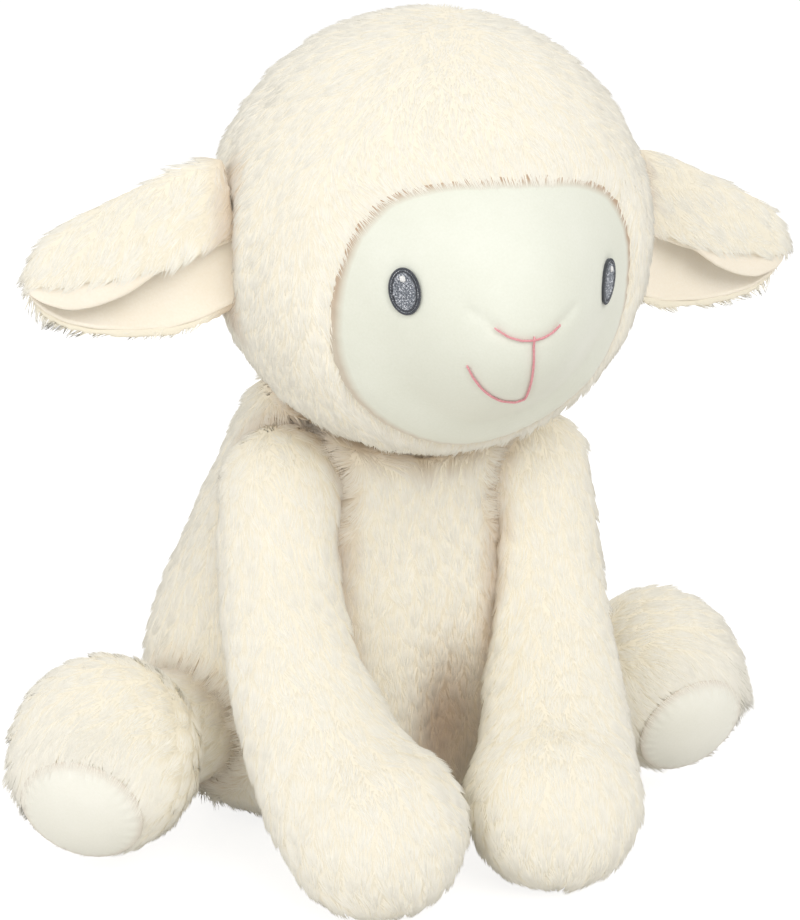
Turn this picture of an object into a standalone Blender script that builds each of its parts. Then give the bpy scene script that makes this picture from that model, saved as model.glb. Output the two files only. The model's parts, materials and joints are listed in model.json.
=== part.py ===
"""Sitting plush sheep, about 271 mm tall: fur covers over fibre fill, a smooth face with
stitched features, folded ears and soft limbs that swing at their seams.

Metres, +Z up. The sheep faces -Y and its left side is +X. The origin is the middle of the
flat seat that it rests on.
"""

import math

import bmesh
import bpy
import numpy as np
from mathutils import Vector

# Fabrics, threads and clearances
SEAM_GAP = 0.0003
PILE_DEPTH = 0.0047
EAR_PILE_DEPTH = 0.0032
VELBOA_DEPTH = 0.0012
THREAD_WIDTH = 0.0012
SATIN_DEPTH = 0.0008
FLAT_CUT = 0.0005
CUT_RUN = 0.004

# Body
TORSO_HEIGHT = 0.160
TORSO_WIDTH = 0.151
TORSO_DEPTH = 0.117
NECK_LEAN = 0.030
BAG_HEIGHT = 0.020
BAG_MARGIN = 0.024
BAG_DEPTH_MARGIN_SHARE = 0.8
BAG_LEVEL_SHARE = 0.1

# Head and neck
HEAD_RADIUS = 0.0688
HEAD_SINK = 0.0260
HEAD_FORWARD = 0.0242
NECK_RADIUS = 0.0220
NECK_DEPTH = 0.0120
NECK_TILT_DEG = 20.0
NECK_RING_SHARES = (0.0, 0.35, 0.7, 1.0)

# Face
FACE_RECESS = 0.0048
MUZZLE_DEPTH = 0.0160
FACE_TUCK_DEG = 4.0
FACE_LIP_DEG = 1.0
FACE_DROP_DEG = 19.0
MUZZLE_DROP_DEG = 14.0
MUZZLE_SIDE_DEG = 24.0
MUZZLE_RISE_DEG = 26.0
EYE_WIDTH = 0.0100
EYE_HEIGHT = 0.0145
EYE_BORDER = 0.0013
EYE_GLINT = 0.0018
EYE_SIDE_DEG = 28.0
EYE_DROP_DEG = 5.1
EYE_TILT_DEG = 8.0

# Ears
EAR_LENGTH = 0.0545
EAR_HEIGHT = 0.0470
EAR_THICKNESS = 0.0170
EAR_FORWARD = 0.0039
EAR_DROP = 0.0029
EAR_ROOT_RADIUS = 0.0060
EAR_ROOT_LENGTH = 0.0400
EAR_ROOT_END_SHARES = (0.35, 0.75)
EAR_DROOP_DEG = 9.0

# Arms
SHOULDER_HEIGHT_SHARE = 0.765625
SHOULDER_INSET = 0.0010
SHOULDER_RADIUS = 0.0200
SHOULDER_TURN_DEG = -38.5
PAW_SPREAD = 0.0300
PAW_REACH = 0.0970
PAW_RADIUS = 0.0290
ELBOW_RADIUS = 0.0200
WRIST_RADIUS = 0.0252
ELBOW_SHARE = 0.47
WRIST_SHARE = 0.87
ELBOW_BOW_OUT = 0.0086
ELBOW_BOW_BACK = 0.0130
WRIST_BOW_OUT = 0.0063
WRIST_BOW_BACK = 0.0093
ARMHOLE_RADIUS = 0.0080
ARMHOLE_WAY = (-0.6, 0.7, 0.4)

# Legs
LEFT_HIP_HEIGHT = 0.0395
RIGHT_HIP_HEIGHT = 0.0370
HIP_INSET = 0.0060
HIP_RADIUS = 0.0215
HIP_TURN_DEG = -22.0
LEG_LENGTH = 0.0367
FOOT_RADIUS = 0.0320
SOLE_RADIUS = 0.0192
SOLE_SEAM = 0.0010
SOLE_DOME = 0.0050
SOLE_DROP_DEG = 20.0
LEFT_SOLE_TURN_DEG = 4.0
RIGHT_SOLE_TURN_DEG = 33.0

# Tail
TAIL_HEIGHT = 0.0450
TAIL_LENGTH = 0.0170
TAIL_RADIUS = 0.0130
TAIL_WAIST_SHARE = 0.45
TAIL_ROOT_RADIUS = 0.0105
TAIL_INSET = 0.0030
TAIL_DROP_DEG = 32.0
TAIL_HOLE_RADIUS = 0.0030

# Facets
TORSO_SIDES = 22
HEAD_SIDES = 24
ARM_SIDES = 16
LEG_SIDES = 16
FILL_SIDES = 12
TAIL_SIDES = 10
PATCH_SIDES = 16
CUP_SIDES = 32
SOCKET_SIDES = 18
SEAT_SIDES = 24

# Height, width, depth and lean of the body, each as a share of its largest value
TORSO_SECTION_SHARES = (
    (0.000, 0.640, 0.680, 0.000),
    (0.020, 0.730, 0.800, 0.010),
    (0.095, 0.910, 0.930, 0.000),
    (0.240, 1.000, 1.000, 0.000),
    (0.375, 0.985, 0.955, 0.067),
    (0.525, 0.905, 0.860, 0.233),
    (0.720, 0.765, 0.735, 0.533),
    (0.905, 0.640, 0.650, 0.840),
    (1.000, 0.480, 0.510, 1.000),
)
TORSO_RING_SHARES = (0.0, 0.03, 0.08, 0.15, 0.25, 0.37, 0.50, 0.64, 0.78, 0.90, 1.0)

BAG_SECTION_SHARES = ((0.0, 0.82), (0.25, 0.97), (0.6, 1.0), (0.88, 0.84))

# Angle from the face's centre line to its seam, every 15 degrees from the brow to the chin
FACE_SEAM_DEG = (41.0, 42.5, 46.5, 50.5, 50.5, 48.5, 46.5, 45.0, 43.5, 42.0, 41.0, 41.0, 41.5)

FACE_RING_SHARES = (0.16, 0.32, 0.48, 0.64, 0.82, 1.0)
HOOD_RING_SHARES = (0.0, 0.10, 0.21, 0.33, 0.46, 0.59, 0.72, 0.86, 1.0)
BACK_DEG = 172.0

# Side angle and drop of each stitched line on the face, in degrees
NOSE_LINE_DEG = ((-7.9, -10.8), (-5.4, -12.2), (-2.7, -12.9), (0.0, -12.9), (2.1, -12.5),
                 (4.1, -11.7), (6.0, -10.4))
MOUTH_LINE_DEG = ((0.1, -14.4), (0.8, -17.5), (1.6, -21.0), (2.8, -25.3), (4.6, -30.2),
                  (1.8, -31.8), (-2.4, -30.6), (-5.8, -28.8), (-8.8, -26.4), (-11.3, -23.3),
                  (-12.9, -20.6))

# Place along the ear, half height and half thickness, as shares of the ear's sizes
EAR_SECTION_SHARES = (
    (0.00, 0.80, 0.50), (0.12, 0.96, 0.66), (0.30, 1.00, 0.96), (0.50, 0.88, 1.00),
    (0.68, 0.70, 0.94), (0.84, 0.47, 0.78), (0.95, 0.25, 0.50), (1.00, 0.09, 0.22),
)
EAR_FOLD_FROM_DEG = -172.0
EAR_FOLD_TO_DEG = 98.0
EAR_FOLD_STEPS = 9
EAR_RING_SHARES = (0.02, 0.16, 0.27, 0.40, 0.53, 0.67, 0.80, 0.91, 1.0)

# Place along the leg and girth between the root and the widest part of the foot
LEG_GIRTH_SHARES = ((0.36, 0.625), (0.52, 0.785), (0.74, 0.935), (1.00, 1.000))

# Rise and girth of the sole's swell, as shares of its height and radius
SOLE_SWELL_SHARES = ((0.68, 0.72), (0.92, 0.38), (1.00, 0.00))
SOLE_FLAT_SHARE = 0.6

FUR = ("fur", (0.93, 0.89, 0.80), 0.95)
VELBOA = ("velboa", (0.90, 0.90, 0.84), 0.85)
LINING = ("ear_lining", (0.92, 0.88, 0.78), 0.85)
FIBRE = ("fibre_fill", (0.95, 0.95, 0.95), 1.00)
PELLETS = ("pellet_bag", (0.80, 0.82, 0.80), 0.70)
CHARCOAL = ("charcoal_thread", (0.09, 0.10, 0.11), 0.45)
SILVER = ("silver_thread", (0.42, 0.44, 0.45), 0.35)
WHITE = ("white_thread", (0.95, 0.95, 0.95), 0.50)
PINK = ("pink_thread", (0.90, 0.42, 0.48), 0.50)


def clear_scene():
    for obj in list(bpy.data.objects):
        bpy.data.objects.remove(obj, do_unlink=True)


def material_of(spec):
    name, colour, roughness = spec
    material = bpy.data.materials.get(name)
    if material is None:
        material = bpy.data.materials.new(name)
        material.use_nodes = True
        shader = material.node_tree.nodes["Principled BSDF"]
        shader.inputs["Base Color"].default_value = (*colour, 1.0)
        shader.inputs["Roughness"].default_value = roughness
        shader.inputs["Metallic"].default_value = 0.0
    return material


def solid(name, loops, spec=None, start=None, end=None, pivot=None):
    """One closed body through a row of loops; a start or end point closes that end to a tip.

    The body hangs on the pivot empty when there is one, with its own origin on it.
    """
    base = pivot.matrix_world.translation if pivot else Vector()
    mesh_edit = bmesh.new()
    rows = [[mesh_edit.verts.new(Vector(point) - base) for point in loop] for loop in loops]
    for row, following in zip(rows, rows[1:]):
        for i in range(len(row)):
            j = (i + 1) % len(row)
            mesh_edit.faces.new((row[i], row[j], following[j], following[i]))
    for row, tip in ((rows[0], start), (rows[-1], end)):
        if tip is None:
            mesh_edit.faces.new(row)
            continue
        apex = mesh_edit.verts.new(Vector(tip) - base)
        for i in range(len(row)):
            mesh_edit.faces.new((row[i], row[(i + 1) % len(row)], apex))
    return finish(name, mesh_edit, spec, pivot)


def ring_solid(name, loops, spec=None, pivot=None):
    """One closed body through loops whose last joins the first, such as a shell or a border."""
    base = pivot.matrix_world.translation if pivot else Vector()
    mesh_edit = bmesh.new()
    rows = [[mesh_edit.verts.new(Vector(point) - base) for point in loop] for loop in loops]
    for row, following in zip(rows, rows[1:] + rows[:1]):
        for i in range(len(row)):
            j = (i + 1) % len(row)
            mesh_edit.faces.new((row[i], row[j], following[j], following[i]))
    return finish(name, mesh_edit, spec, pivot)


def finish(name, mesh_edit, spec, pivot):
    bmesh.ops.recalc_face_normals(mesh_edit, faces=mesh_edit.faces)
    bent = [face for face in mesh_edit.faces if len(face.verts) == 4]
    bmesh.ops.triangulate(mesh_edit, faces=bent, quad_method="SHORT_EDGE")
    mesh = bpy.data.meshes.new(name)
    mesh_edit.to_mesh(mesh)
    mesh_edit.free()
    mesh.shade_smooth()
    mesh.set_sharp_from_angle(angle=math.radians(40.0))
    obj = bpy.data.objects.new(name, mesh)
    bpy.context.scene.collection.objects.link(obj)
    if pivot:
        obj.parent = pivot
    if spec:
        mesh.materials.append(material_of(spec))
    else:
        obj.hide_render = True
        obj.display_type = "WIRE"
    return obj


def boolean(obj, other, operation="DIFFERENCE"):
    modifier = obj.modifiers.new(operation.lower() + "_" + other.name, "BOOLEAN")
    modifier.operation = operation
    modifier.solver = "EXACT"
    modifier.object = other


def cut(obj, *cutters):
    for cutter in cutters:
        boolean(obj, cutter)
    return obj


def pivot_at(name, place, parent=None):
    empty = bpy.data.objects.new(name, None)
    bpy.context.scene.collection.objects.link(empty)
    empty.empty_display_size = SHOULDER_RADIUS
    if parent:
        empty.parent = parent
        empty.location = Vector(place) - parent.matrix_world.translation
    else:
        empty.location = Vector(place)
    bpy.context.view_layer.update()
    return empty


def through(rows, count):
    """Points of a smooth curve through rows of numbers, the first column rising."""
    table = np.array(rows, dtype=float)
    places = np.linspace(0.0, len(table) - 1.0, count)
    points = []
    for place in places:
        i = min(int(place), len(table) - 2)
        t = place - i
        before = table[max(i - 1, 0)]
        after = table[min(i + 2, len(table) - 1)]
        a, b = table[i], table[i + 1]
        points.append(0.5 * (2.0 * a + (b - before) * t
                             + (2.0 * before - 5.0 * a + 4.0 * b - after) * t ** 2
                             + (3.0 * a - before - 3.0 * b + after) * t ** 3))
    return points


def at_share(rows, share):
    """The smooth values of a table of shares at one share of its first column."""
    fine = np.array(through(rows, 20 * len(rows)))
    return [float(np.interp(share, fine[:, 0], fine[:, k])) for k in range(1, fine.shape[1])]


def turned(profile, centre, axis, sides, name, spec=None, pivot=None):
    """A body turned about an axis; the profile lists (place along the axis, radius).

    A profile that starts or ends on the axis closes there to a tip, and otherwise flat.
    """
    axis = Vector(axis).normalized()
    side = axis.cross(Vector((0.31, 0.17, 0.93))).normalized()
    other = axis.cross(side)
    centre = Vector(centre)
    inner = [row for row in profile if row[1] > 0.0]
    loops = []
    for along, radius in inner:
        loops.append([centre + axis * along
                      + side * (radius * math.cos(2.0 * math.pi * i / sides))
                      + other * (radius * math.sin(2.0 * math.pi * i / sides))
                      for i in range(sides)])
    start = centre + axis * profile[0][0] if profile[0][1] <= 0.0 else None
    end = centre + axis * profile[-1][0] if profile[-1][1] <= 0.0 else None
    return solid(name, loops, spec, start, end, pivot)


def ball(name, centre, radius, sides):
    """A ball whose facets all lie outside the radius, to clear what turns inside it."""
    rings = sides // 2
    radius /= math.cos(math.pi / sides) ** 2
    profile = [(-radius * math.cos(math.pi * k / rings), radius * math.sin(math.pi * k / rings))
               for k in range(1, rings)]
    profile = [(-radius, 0.0)] + profile + [(radius, 0.0)]
    return turned(profile, centre, (1.0, 0.0, 0.0), sides, name)


def rod(name, start, axis, length, radius, sides):
    return turned([(0.0, radius), (length, radius)], start, axis, sides, name)


# The body's section at a share of its height

def torso_section(share):
    width, depth, lean = at_share(TORSO_SECTION_SHARES, share)
    return width * TORSO_WIDTH / 2.0, depth * TORSO_DEPTH / 2.0, -lean * NECK_LEAN


def torso_point(height, turn_deg, inset):
    """A place in the body under its surface, and the way out of the body there."""
    half_width, half_depth, middle = torso_section(height / TORSO_HEIGHT)
    turn = math.radians(turn_deg)
    out = Vector((math.cos(turn) / half_width, math.sin(turn) / half_depth, 0.0)).normalized()
    skin = Vector((half_width * math.cos(turn), middle + half_depth * math.sin(turn), height))
    return skin - out * inset, out


def torso_form(name, grow, spec=None):
    """The body's outer form, made thicker or thinner all round by one distance."""
    bottom = -grow
    top = TORSO_HEIGHT + grow
    loops = []
    for ring_share in TORSO_RING_SHARES:
        half_width, half_depth, middle = torso_section(ring_share)
        height = bottom + (top - bottom) * ring_share
        loops.append([(
            (half_width + grow) * math.cos(2.0 * math.pi * i / TORSO_SIDES),
            middle + (half_depth + grow) * math.sin(2.0 * math.pi * i / TORSO_SIDES),
            height,
        ) for i in range(TORSO_SIDES)])
    return solid(name, loops, spec)


# The head's directions: angle from the face's centre line, and turn round it from the brow

FACE_LINE = Vector((0.0, -math.cos(math.radians(FACE_DROP_DEG)),
                    -math.sin(math.radians(FACE_DROP_DEG))))
FACE_UP = Vector((0.0, -math.sin(math.radians(FACE_DROP_DEG)),
                  math.cos(math.radians(FACE_DROP_DEG))))
FACE_SIDE = Vector((1.0, 0.0, 0.0))


def head_direction(angle, turn):
    across = FACE_UP * math.cos(turn) + FACE_SIDE * math.sin(turn)
    return FACE_LINE * math.cos(angle) + across * math.sin(angle)


def look_direction(side_deg, rise_deg):
    side, rise = math.radians(side_deg), math.radians(rise_deg)
    return Vector((math.sin(side) * math.cos(rise), -math.cos(side) * math.cos(rise),
                   math.sin(rise)))


def seam_angle(turn):
    steps = len(FACE_SEAM_DEG) - 1
    place = math.degrees(math.acos(max(-1.0, min(1.0, math.cos(turn))))) * steps / 180.0
    return math.radians(float(np.interp(place, range(steps + 1), FACE_SEAM_DEG)))


def face_radius(direction):
    """The smooth face: a ball a little smaller than the hood, with the muzzle's swell."""
    side = math.degrees(math.atan2(direction.x, -direction.y))
    rise = math.degrees(math.asin(max(-1.0, min(1.0, direction.z)))) + MUZZLE_DROP_DEG
    swell = math.exp(-(side / MUZZLE_SIDE_DEG) ** 2 - (rise / MUZZLE_RISE_DEG) ** 2)
    return HEAD_RADIUS - FACE_RECESS + MUZZLE_DEPTH * swell


def head_loop(centre, angles, radius_of, sides=HEAD_SIDES):
    """A loop round the face's centre line; angles and radii may change with the turn."""
    points = []
    for i in range(sides):
        turn = 2.0 * math.pi * i / sides
        direction = head_direction(angles(turn), turn)
        points.append(centre + direction * radius_of(direction))
    return points


def between(start_angle, end_angle, share):
    return lambda turn: start_angle(turn) * (1.0 - share) + end_angle(turn) * share


def sphere_of(radius):
    return lambda direction: radius


def face_less(depth):
    return lambda direction: face_radius(direction) - depth


def tucked(turn):
    return seam_angle(turn) + math.radians(FACE_TUCK_DEG)


def middle_angle(turn):
    return 0.0


def back_angle(turn):
    return math.radians(BACK_DEG)


def face_loops(centre, depth):
    """Loops from the middle of the face to its seam and on to the edge under the hood."""
    loops = [head_loop(centre, between(middle_angle, seam_angle, s), face_less(depth))
             for s in FACE_RING_SHARES]
    return loops + [head_loop(centre, tucked, face_less(depth))]


def build_hood(centre, pivot):
    """The fur hood: a shell from the rolled edge round the face to the back of the head."""
    def lip(turn):
        return seam_angle(turn) - math.radians(FACE_LIP_DEG)

    edges = [between(tucked, back_angle, s) for s in HOOD_RING_SHARES]
    inside = [head_loop(centre, edge, face_less(-SEAM_GAP)) for edge in [seam_angle] + edges]
    outside = [head_loop(centre, edge, sphere_of(HEAD_RADIUS)) for edge in edges]
    rolled = head_loop(centre, lip, lambda out: (face_radius(out) + HEAD_RADIUS) / 2.0)
    return solid("head_cover", list(reversed(inside)) + [rolled] + outside, FUR,
                 centre - FACE_LINE * (face_radius(-FACE_LINE) + SEAM_GAP),
                 centre - FACE_LINE * HEAD_RADIUS, pivot)


def build_face(centre, pivot):
    """The smooth face panel, its edge tucked under the hood."""
    front = face_loops(centre, 0.0)
    rear = face_loops(centre, VELBOA_DEPTH)
    radius = face_radius(FACE_LINE)
    return solid("face_panel", front + list(reversed(rear)), VELBOA,
                 centre + FACE_LINE * radius, centre + FACE_LINE * (radius - VELBOA_DEPTH), pivot)


def build_head_fill(centre, pivot):
    """Fibre that backs the face panel and fills the hood behind it."""
    def shoulder(turn):
        return tucked(turn) + math.radians(FACE_LIP_DEG)

    front = face_loops(centre, VELBOA_DEPTH + SEAM_GAP)
    rear = [head_loop(centre, edge, face_less(SEAM_GAP)) for edge in
            [shoulder] + [between(tucked, back_angle, s) for s in HOOD_RING_SHARES[1:]]]
    nose = face_radius(FACE_LINE) - VELBOA_DEPTH - SEAM_GAP
    nape = face_radius(-FACE_LINE) - SEAM_GAP
    return solid("head_stuffing", front + rear, FIBRE,
                 centre + FACE_LINE * nose, centre - FACE_LINE * nape, pivot)


def patch_loop(centre, middle, half_width, half_height, tilt, lift):
    """An oval on the face round a direction, lifted off the face by one distance."""
    away = centre + middle * face_radius(middle)
    side = Vector((0.0, 0.0, 1.0)).cross(-middle).normalized()
    rise = side.cross(middle).normalized()
    if rise.z < 0.0:
        rise = -rise
    points = []
    for i in range(PATCH_SIDES):
        turn = 2.0 * math.pi * i / PATCH_SIDES
        across, up = half_width * math.cos(turn), half_height * math.sin(turn)
        flat = (side * (across * math.cos(tilt) - up * math.sin(tilt))
                + rise * (across * math.sin(tilt) + up * math.cos(tilt)))
        direction = (away + flat - centre).normalized()
        points.append(centre + direction * (face_radius(direction) + lift))
    return points


def build_eye(side, sign, centre, pivot):
    """Satin stitches in three layers: a charcoal border, a silver middle and a white glint."""
    middle = look_direction(sign * EYE_SIDE_DEG, -EYE_DROP_DEG)
    tilt = math.radians(sign * EYE_TILT_DEG)
    outer = (EYE_WIDTH / 2.0, EYE_HEIGHT / 2.0)
    inner = (outer[0] - EYE_BORDER, outer[1] - EYE_BORDER)
    fill = (inner[0] - SEAM_GAP, inner[1] - SEAM_GAP)
    low, high = SEAM_GAP, SEAM_GAP + SATIN_DEPTH

    def loop(half, lift, at=middle):
        return patch_loop(centre, at, half[0], half[1], tilt, lift)

    ring_solid(side + "_eye_border", [loop(outer, low), loop(outer, high), loop(inner, high),
                                      loop(inner, low)], CHARCOAL, pivot)
    half_fill = (fill[0] / 2.0, fill[1] / 2.0)
    radius = face_radius(middle)
    solid(side + "_eye_fill", [loop(half_fill, low), loop(fill, low), loop(fill, high),
                               loop(half_fill, high)], SILVER,
          centre + middle * (radius + low), centre + middle * (radius + high), pivot)
    glint_at = look_direction(sign * EYE_SIDE_DEG, -EYE_DROP_DEG
                              + math.degrees(EYE_HEIGHT / 4.0 / HEAD_RADIUS))
    glint = (EYE_GLINT / 2.0, EYE_GLINT / 2.0)
    top = high + SEAM_GAP
    solid(side + "_eye_glint", [loop(glint, top, glint_at), loop(glint, top + SEAM_GAP, glint_at)],
          WHITE, None, None, pivot)


def stitched_line(name, line_deg, centre, pivot, count):
    """A raised line of thread over the face, six-sided and closed at both ends."""
    places = []
    for side_deg, rise_deg in through(line_deg, count):
        direction = look_direction(side_deg, rise_deg)
        radius = face_radius(direction) + SEAM_GAP + THREAD_WIDTH / 2.0
        places.append((centre + direction * radius, direction))
    loops = []
    for k, (point, out) in enumerate(places):
        ahead = places[min(k + 1, len(places) - 1)][0] - places[max(k - 1, 0)][0]
        across = ahead.normalized().cross(out).normalized()
        loops.append([point + (across * math.cos(math.radians(60.0 * i))
                               + out * math.sin(math.radians(60.0 * i))) * THREAD_WIDTH / 2.0
                      for i in range(6)])
    solid(name, loops, PINK, None, None, pivot)


# Ears

def ear_frame(sign, root):
    droop = math.radians(EAR_DROOP_DEG)
    along = Vector((sign * math.cos(droop), 0.0, -math.sin(droop)))
    up = Vector((sign * math.sin(droop), 0.0, math.cos(droop)))
    front = Vector((0.0, -1.0, 0.0))
    return lambda u, v, w: root + along * u + up * v + front * w


def fold_loop(place, share, outer_inset, inner_inset, from_deg, to_deg):
    """The hooked section of a folded ear: out along its outside and back along its inside."""
    height, thickness = at_share(EAR_SECTION_SHARES, share)
    half_height, half_thickness = height * EAR_HEIGHT / 2.0, thickness * EAR_THICKNESS / 2.0
    loop = []
    for inset, order in ((outer_inset, range(EAR_FOLD_STEPS + 1)),
                         (inner_inset, reversed(range(EAR_FOLD_STEPS + 1)))):
        tall = half_height - inset * thickness
        thick = half_thickness - inset * thickness
        for i in order:
            turn = math.radians(from_deg + (to_deg - from_deg) * i / EAR_FOLD_STEPS)
            loop.append(place(share * EAR_LENGTH, tall * math.cos(turn), thick * math.sin(turn)))
    return loop


def build_ear(side, sign, root, pivot):
    place = ear_frame(sign, root)
    loops = [fold_loop(place, s, 0.0, EAR_PILE_DEPTH, EAR_FOLD_FROM_DEG, EAR_FOLD_TO_DEG)
             for s in EAR_RING_SHARES]
    cover = solid(side + "_ear_cover", loops, FUR, None, None, pivot)
    boolean(cover, root_bead(side + "_ear_root", root, 0.0), "UNION")
    under = EAR_PILE_DEPTH + 2.0 * SEAM_GAP
    loops = [fold_loop(place, s, under, under + VELBOA_DEPTH, EAR_FOLD_FROM_DEG,
                       EAR_FOLD_TO_DEG) for s in EAR_RING_SHARES[1:-1]]
    solid(side + "_ear_lining", loops, LINING, None, None, pivot)


def root_bead(name, root, grow):
    """The bead of gathered fabric along the ear's seam, upright and round-ended."""
    radius = EAR_ROOT_RADIUS + grow
    half = EAR_ROOT_LENGTH / 2.0 + grow
    inset, girth = (radius * share for share in EAR_ROOT_END_SHARES)
    profile = [(-half, 0.0), (-half + inset, girth), (-half + radius, radius),
               (half - radius, radius), (half - inset, girth), (half, 0.0)]
    return turned(profile, root, (0.0, 0.0, 1.0), 14, name)


# Limbs

def limb_form(name, path, inset, sides, rings, spec=None, pivot=None):
    """A stuffed limb along a path of (place, radius), round-ended and inset all round."""
    end_turns_deg = (72.0, 48.0, 24.0) if sides > FILL_SIDES else (60.0, 30.0)
    rows = [(*point, radius) for point, radius in path]
    rows = through(rows, rings)
    places = [Vector(row[:3]) for row in rows]
    radii = [row[3] - inset for row in rows]
    loops = []
    start_axis = (places[1] - places[0]).normalized()
    end_axis = (places[-1] - places[-2]).normalized()

    def loop(centre, axis, radius):
        side = (Vector((1.0, 0.0, 0.0)) - axis * axis.x).normalized()
        if abs(axis.x) > 0.9:
            side = (Vector((0.0, 0.0, 1.0)) - axis * axis.z).normalized()
        other = axis.cross(side)
        return [centre + side * (radius * math.cos(2.0 * math.pi * i / sides))
                + other * (radius * math.sin(2.0 * math.pi * i / sides)) for i in range(sides)]

    for turn_deg in end_turns_deg:
        turn = math.radians(turn_deg)
        loops.append(loop(places[0] - start_axis * (radii[0] * math.sin(turn)), start_axis,
                          radii[0] * math.cos(turn)))
    for k, centre in enumerate(places):
        ahead = places[min(k + 1, len(places) - 1)] - places[max(k - 1, 0)]
        loops.append(loop(centre, ahead.normalized(), radii[k]))
    for turn_deg in reversed(end_turns_deg):
        turn = math.radians(turn_deg)
        loops.append(loop(places[-1] + end_axis * (radii[-1] * math.sin(turn)), end_axis,
                          radii[-1] * math.cos(turn)))
    return solid(name, loops, spec, places[0] - start_axis * radii[0],
                 places[-1] + end_axis * radii[-1], pivot)


def beside_torso(name, grow, joint, joint_radius, sides=SEAT_SIDES):
    """The body grown by a clearance, less the ball of the limb that is seated in it."""
    form = torso_form(name, grow)
    boolean(form, ball(name + "_seat", joint, joint_radius, sides))
    return form


def build_arm(side, sign, cutters):
    shoulder, _ = torso_point(SHOULDER_HEIGHT_SHARE * TORSO_HEIGHT,
                              SHOULDER_TURN_DEG, SHOULDER_INSET)
    shoulder.x *= sign
    paw = Vector((sign * PAW_SPREAD, -PAW_REACH, PAW_RADIUS - FLAT_CUT))
    elbow = shoulder.lerp(paw, ELBOW_SHARE) + Vector((sign * ELBOW_BOW_OUT, ELBOW_BOW_BACK, 0.0))
    wrist = shoulder.lerp(paw, WRIST_SHARE) + Vector((sign * WRIST_BOW_OUT, WRIST_BOW_BACK, 0.0))
    path = [(shoulder, SHOULDER_RADIUS), (elbow, ELBOW_RADIUS), (wrist, WRIST_RADIUS),
            (paw, PAW_RADIUS)]
    pivot = pivot_at(side + "_shoulder", shoulder)
    inside = PILE_DEPTH + SEAM_GAP
    cover = limb_form(side + "_arm_cover", path, 0.0, ARM_SIDES, 8, FUR, pivot)
    hollow = limb_form(side + "_arm_hollow", path, PILE_DEPTH, FILL_SIDES, 6)
    fill = limb_form(side + "_arm_stuffing", path, inside, FILL_SIDES, 6, FIBRE, pivot)
    cut(hollow, beside_torso(side + "_arm_wall", SEAM_GAP + PILE_DEPTH, shoulder,
                             SHOULDER_RADIUS - PILE_DEPTH, FILL_SIDES))
    cut(fill, beside_torso(side + "_arm_fill_wall", SEAM_GAP + inside, shoulder,
                           SHOULDER_RADIUS - inside, FILL_SIDES), cutters["fill_floor"])
    cut(hollow, cutters["cover_floor"])
    inward = Vector((sign * ARMHOLE_WAY[0], *ARMHOLE_WAY[1:])).normalized()
    hole = rod(side + "_armhole", shoulder, inward, SHOULDER_RADIUS + CUT_RUN, ARMHOLE_RADIUS, 12)
    cut(cover, beside_torso(side + "_arm_side", SEAM_GAP, shoulder, SHOULDER_RADIUS),
        cutters["floor"], hollow, hole)
    return shoulder


def build_leg(side, sign, hip_height, sole_turn_deg):
    hip, out = torso_point(hip_height, HIP_TURN_DEG, HIP_INSET)
    hip.x *= sign
    out.x *= sign
    foot = hip + out * LEG_LENGTH
    pivot = pivot_at(side + "_hip", hip)
    turn, drop = math.radians(sole_turn_deg), math.radians(SOLE_DROP_DEG)
    facing = Vector((sign * math.sin(turn) * math.cos(drop), -math.cos(turn) * math.cos(drop),
                     -math.sin(drop)))
    sole_away = math.sqrt(FOOT_RADIUS ** 2 - (SOLE_RADIUS + SOLE_SEAM) ** 2)

    def leg_form(name, inset, spec=None, on=None):
        root, widest = HIP_RADIUS - inset, FOOT_RADIUS - inset
        profile = [(-root, 0.0)]
        profile += [(root * math.sin(math.radians(a)), root * math.cos(math.radians(a)))
                    for a in (-60.0, -30.0, 0.0, 30.0)]
        profile += [(LEG_LENGTH * along, widest * girth) for along, girth in LEG_GIRTH_SHARES]
        profile += [(LEG_LENGTH + widest * math.sin(math.radians(a)),
                     widest * math.cos(math.radians(a))) for a in (22.0, 45.0, 68.0)]
        profile += [(LEG_LENGTH + widest, 0.0)]
        sides = FILL_SIDES if inset else LEG_SIDES
        return turned(profile, hip, out, sides, name, spec, on)

    def sole_block(name, away):
        return rod(name, foot + facing * away, facing, FOOT_RADIUS, FOOT_RADIUS, 20)

    inside = PILE_DEPTH + SEAM_GAP
    cover = leg_form(side + "_leg_cover", 0.0, FUR, pivot)
    hollow = leg_form(side + "_leg_hollow", PILE_DEPTH)
    fill = leg_form(side + "_leg_stuffing", inside, FIBRE, pivot)
    wall = SOLE_SEAM + VELBOA_DEPTH
    opening = rod(side + "_sole_opening", foot + facing * (sole_away - wall - CUT_RUN), facing,
                  FOOT_RADIUS, SOLE_RADIUS - SOLE_SEAM, 20)
    cut(hollow, sole_block(side + "_hollow_sole", sole_away - wall))
    cut(fill, sole_block(side + "_fill_sole", sole_away - wall - SEAM_GAP))
    cut(cover, sole_block(side + "_sole_plane", sole_away), hollow, opening)
    pad = [(SEAM_GAP, 0.0), (SEAM_GAP, SOLE_RADIUS * SOLE_FLAT_SHARE), (SEAM_GAP, SOLE_RADIUS),
           (SEAM_GAP + VELBOA_DEPTH, SOLE_RADIUS)]
    pad += [(SEAM_GAP + SOLE_DOME * rise, SOLE_RADIUS * girth)
            for rise, girth in SOLE_SWELL_SHARES]
    turned(pad, foot + facing * sole_away, facing, 20, side + "_sole_pad", VELBOA, pivot)
    return hip


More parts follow.
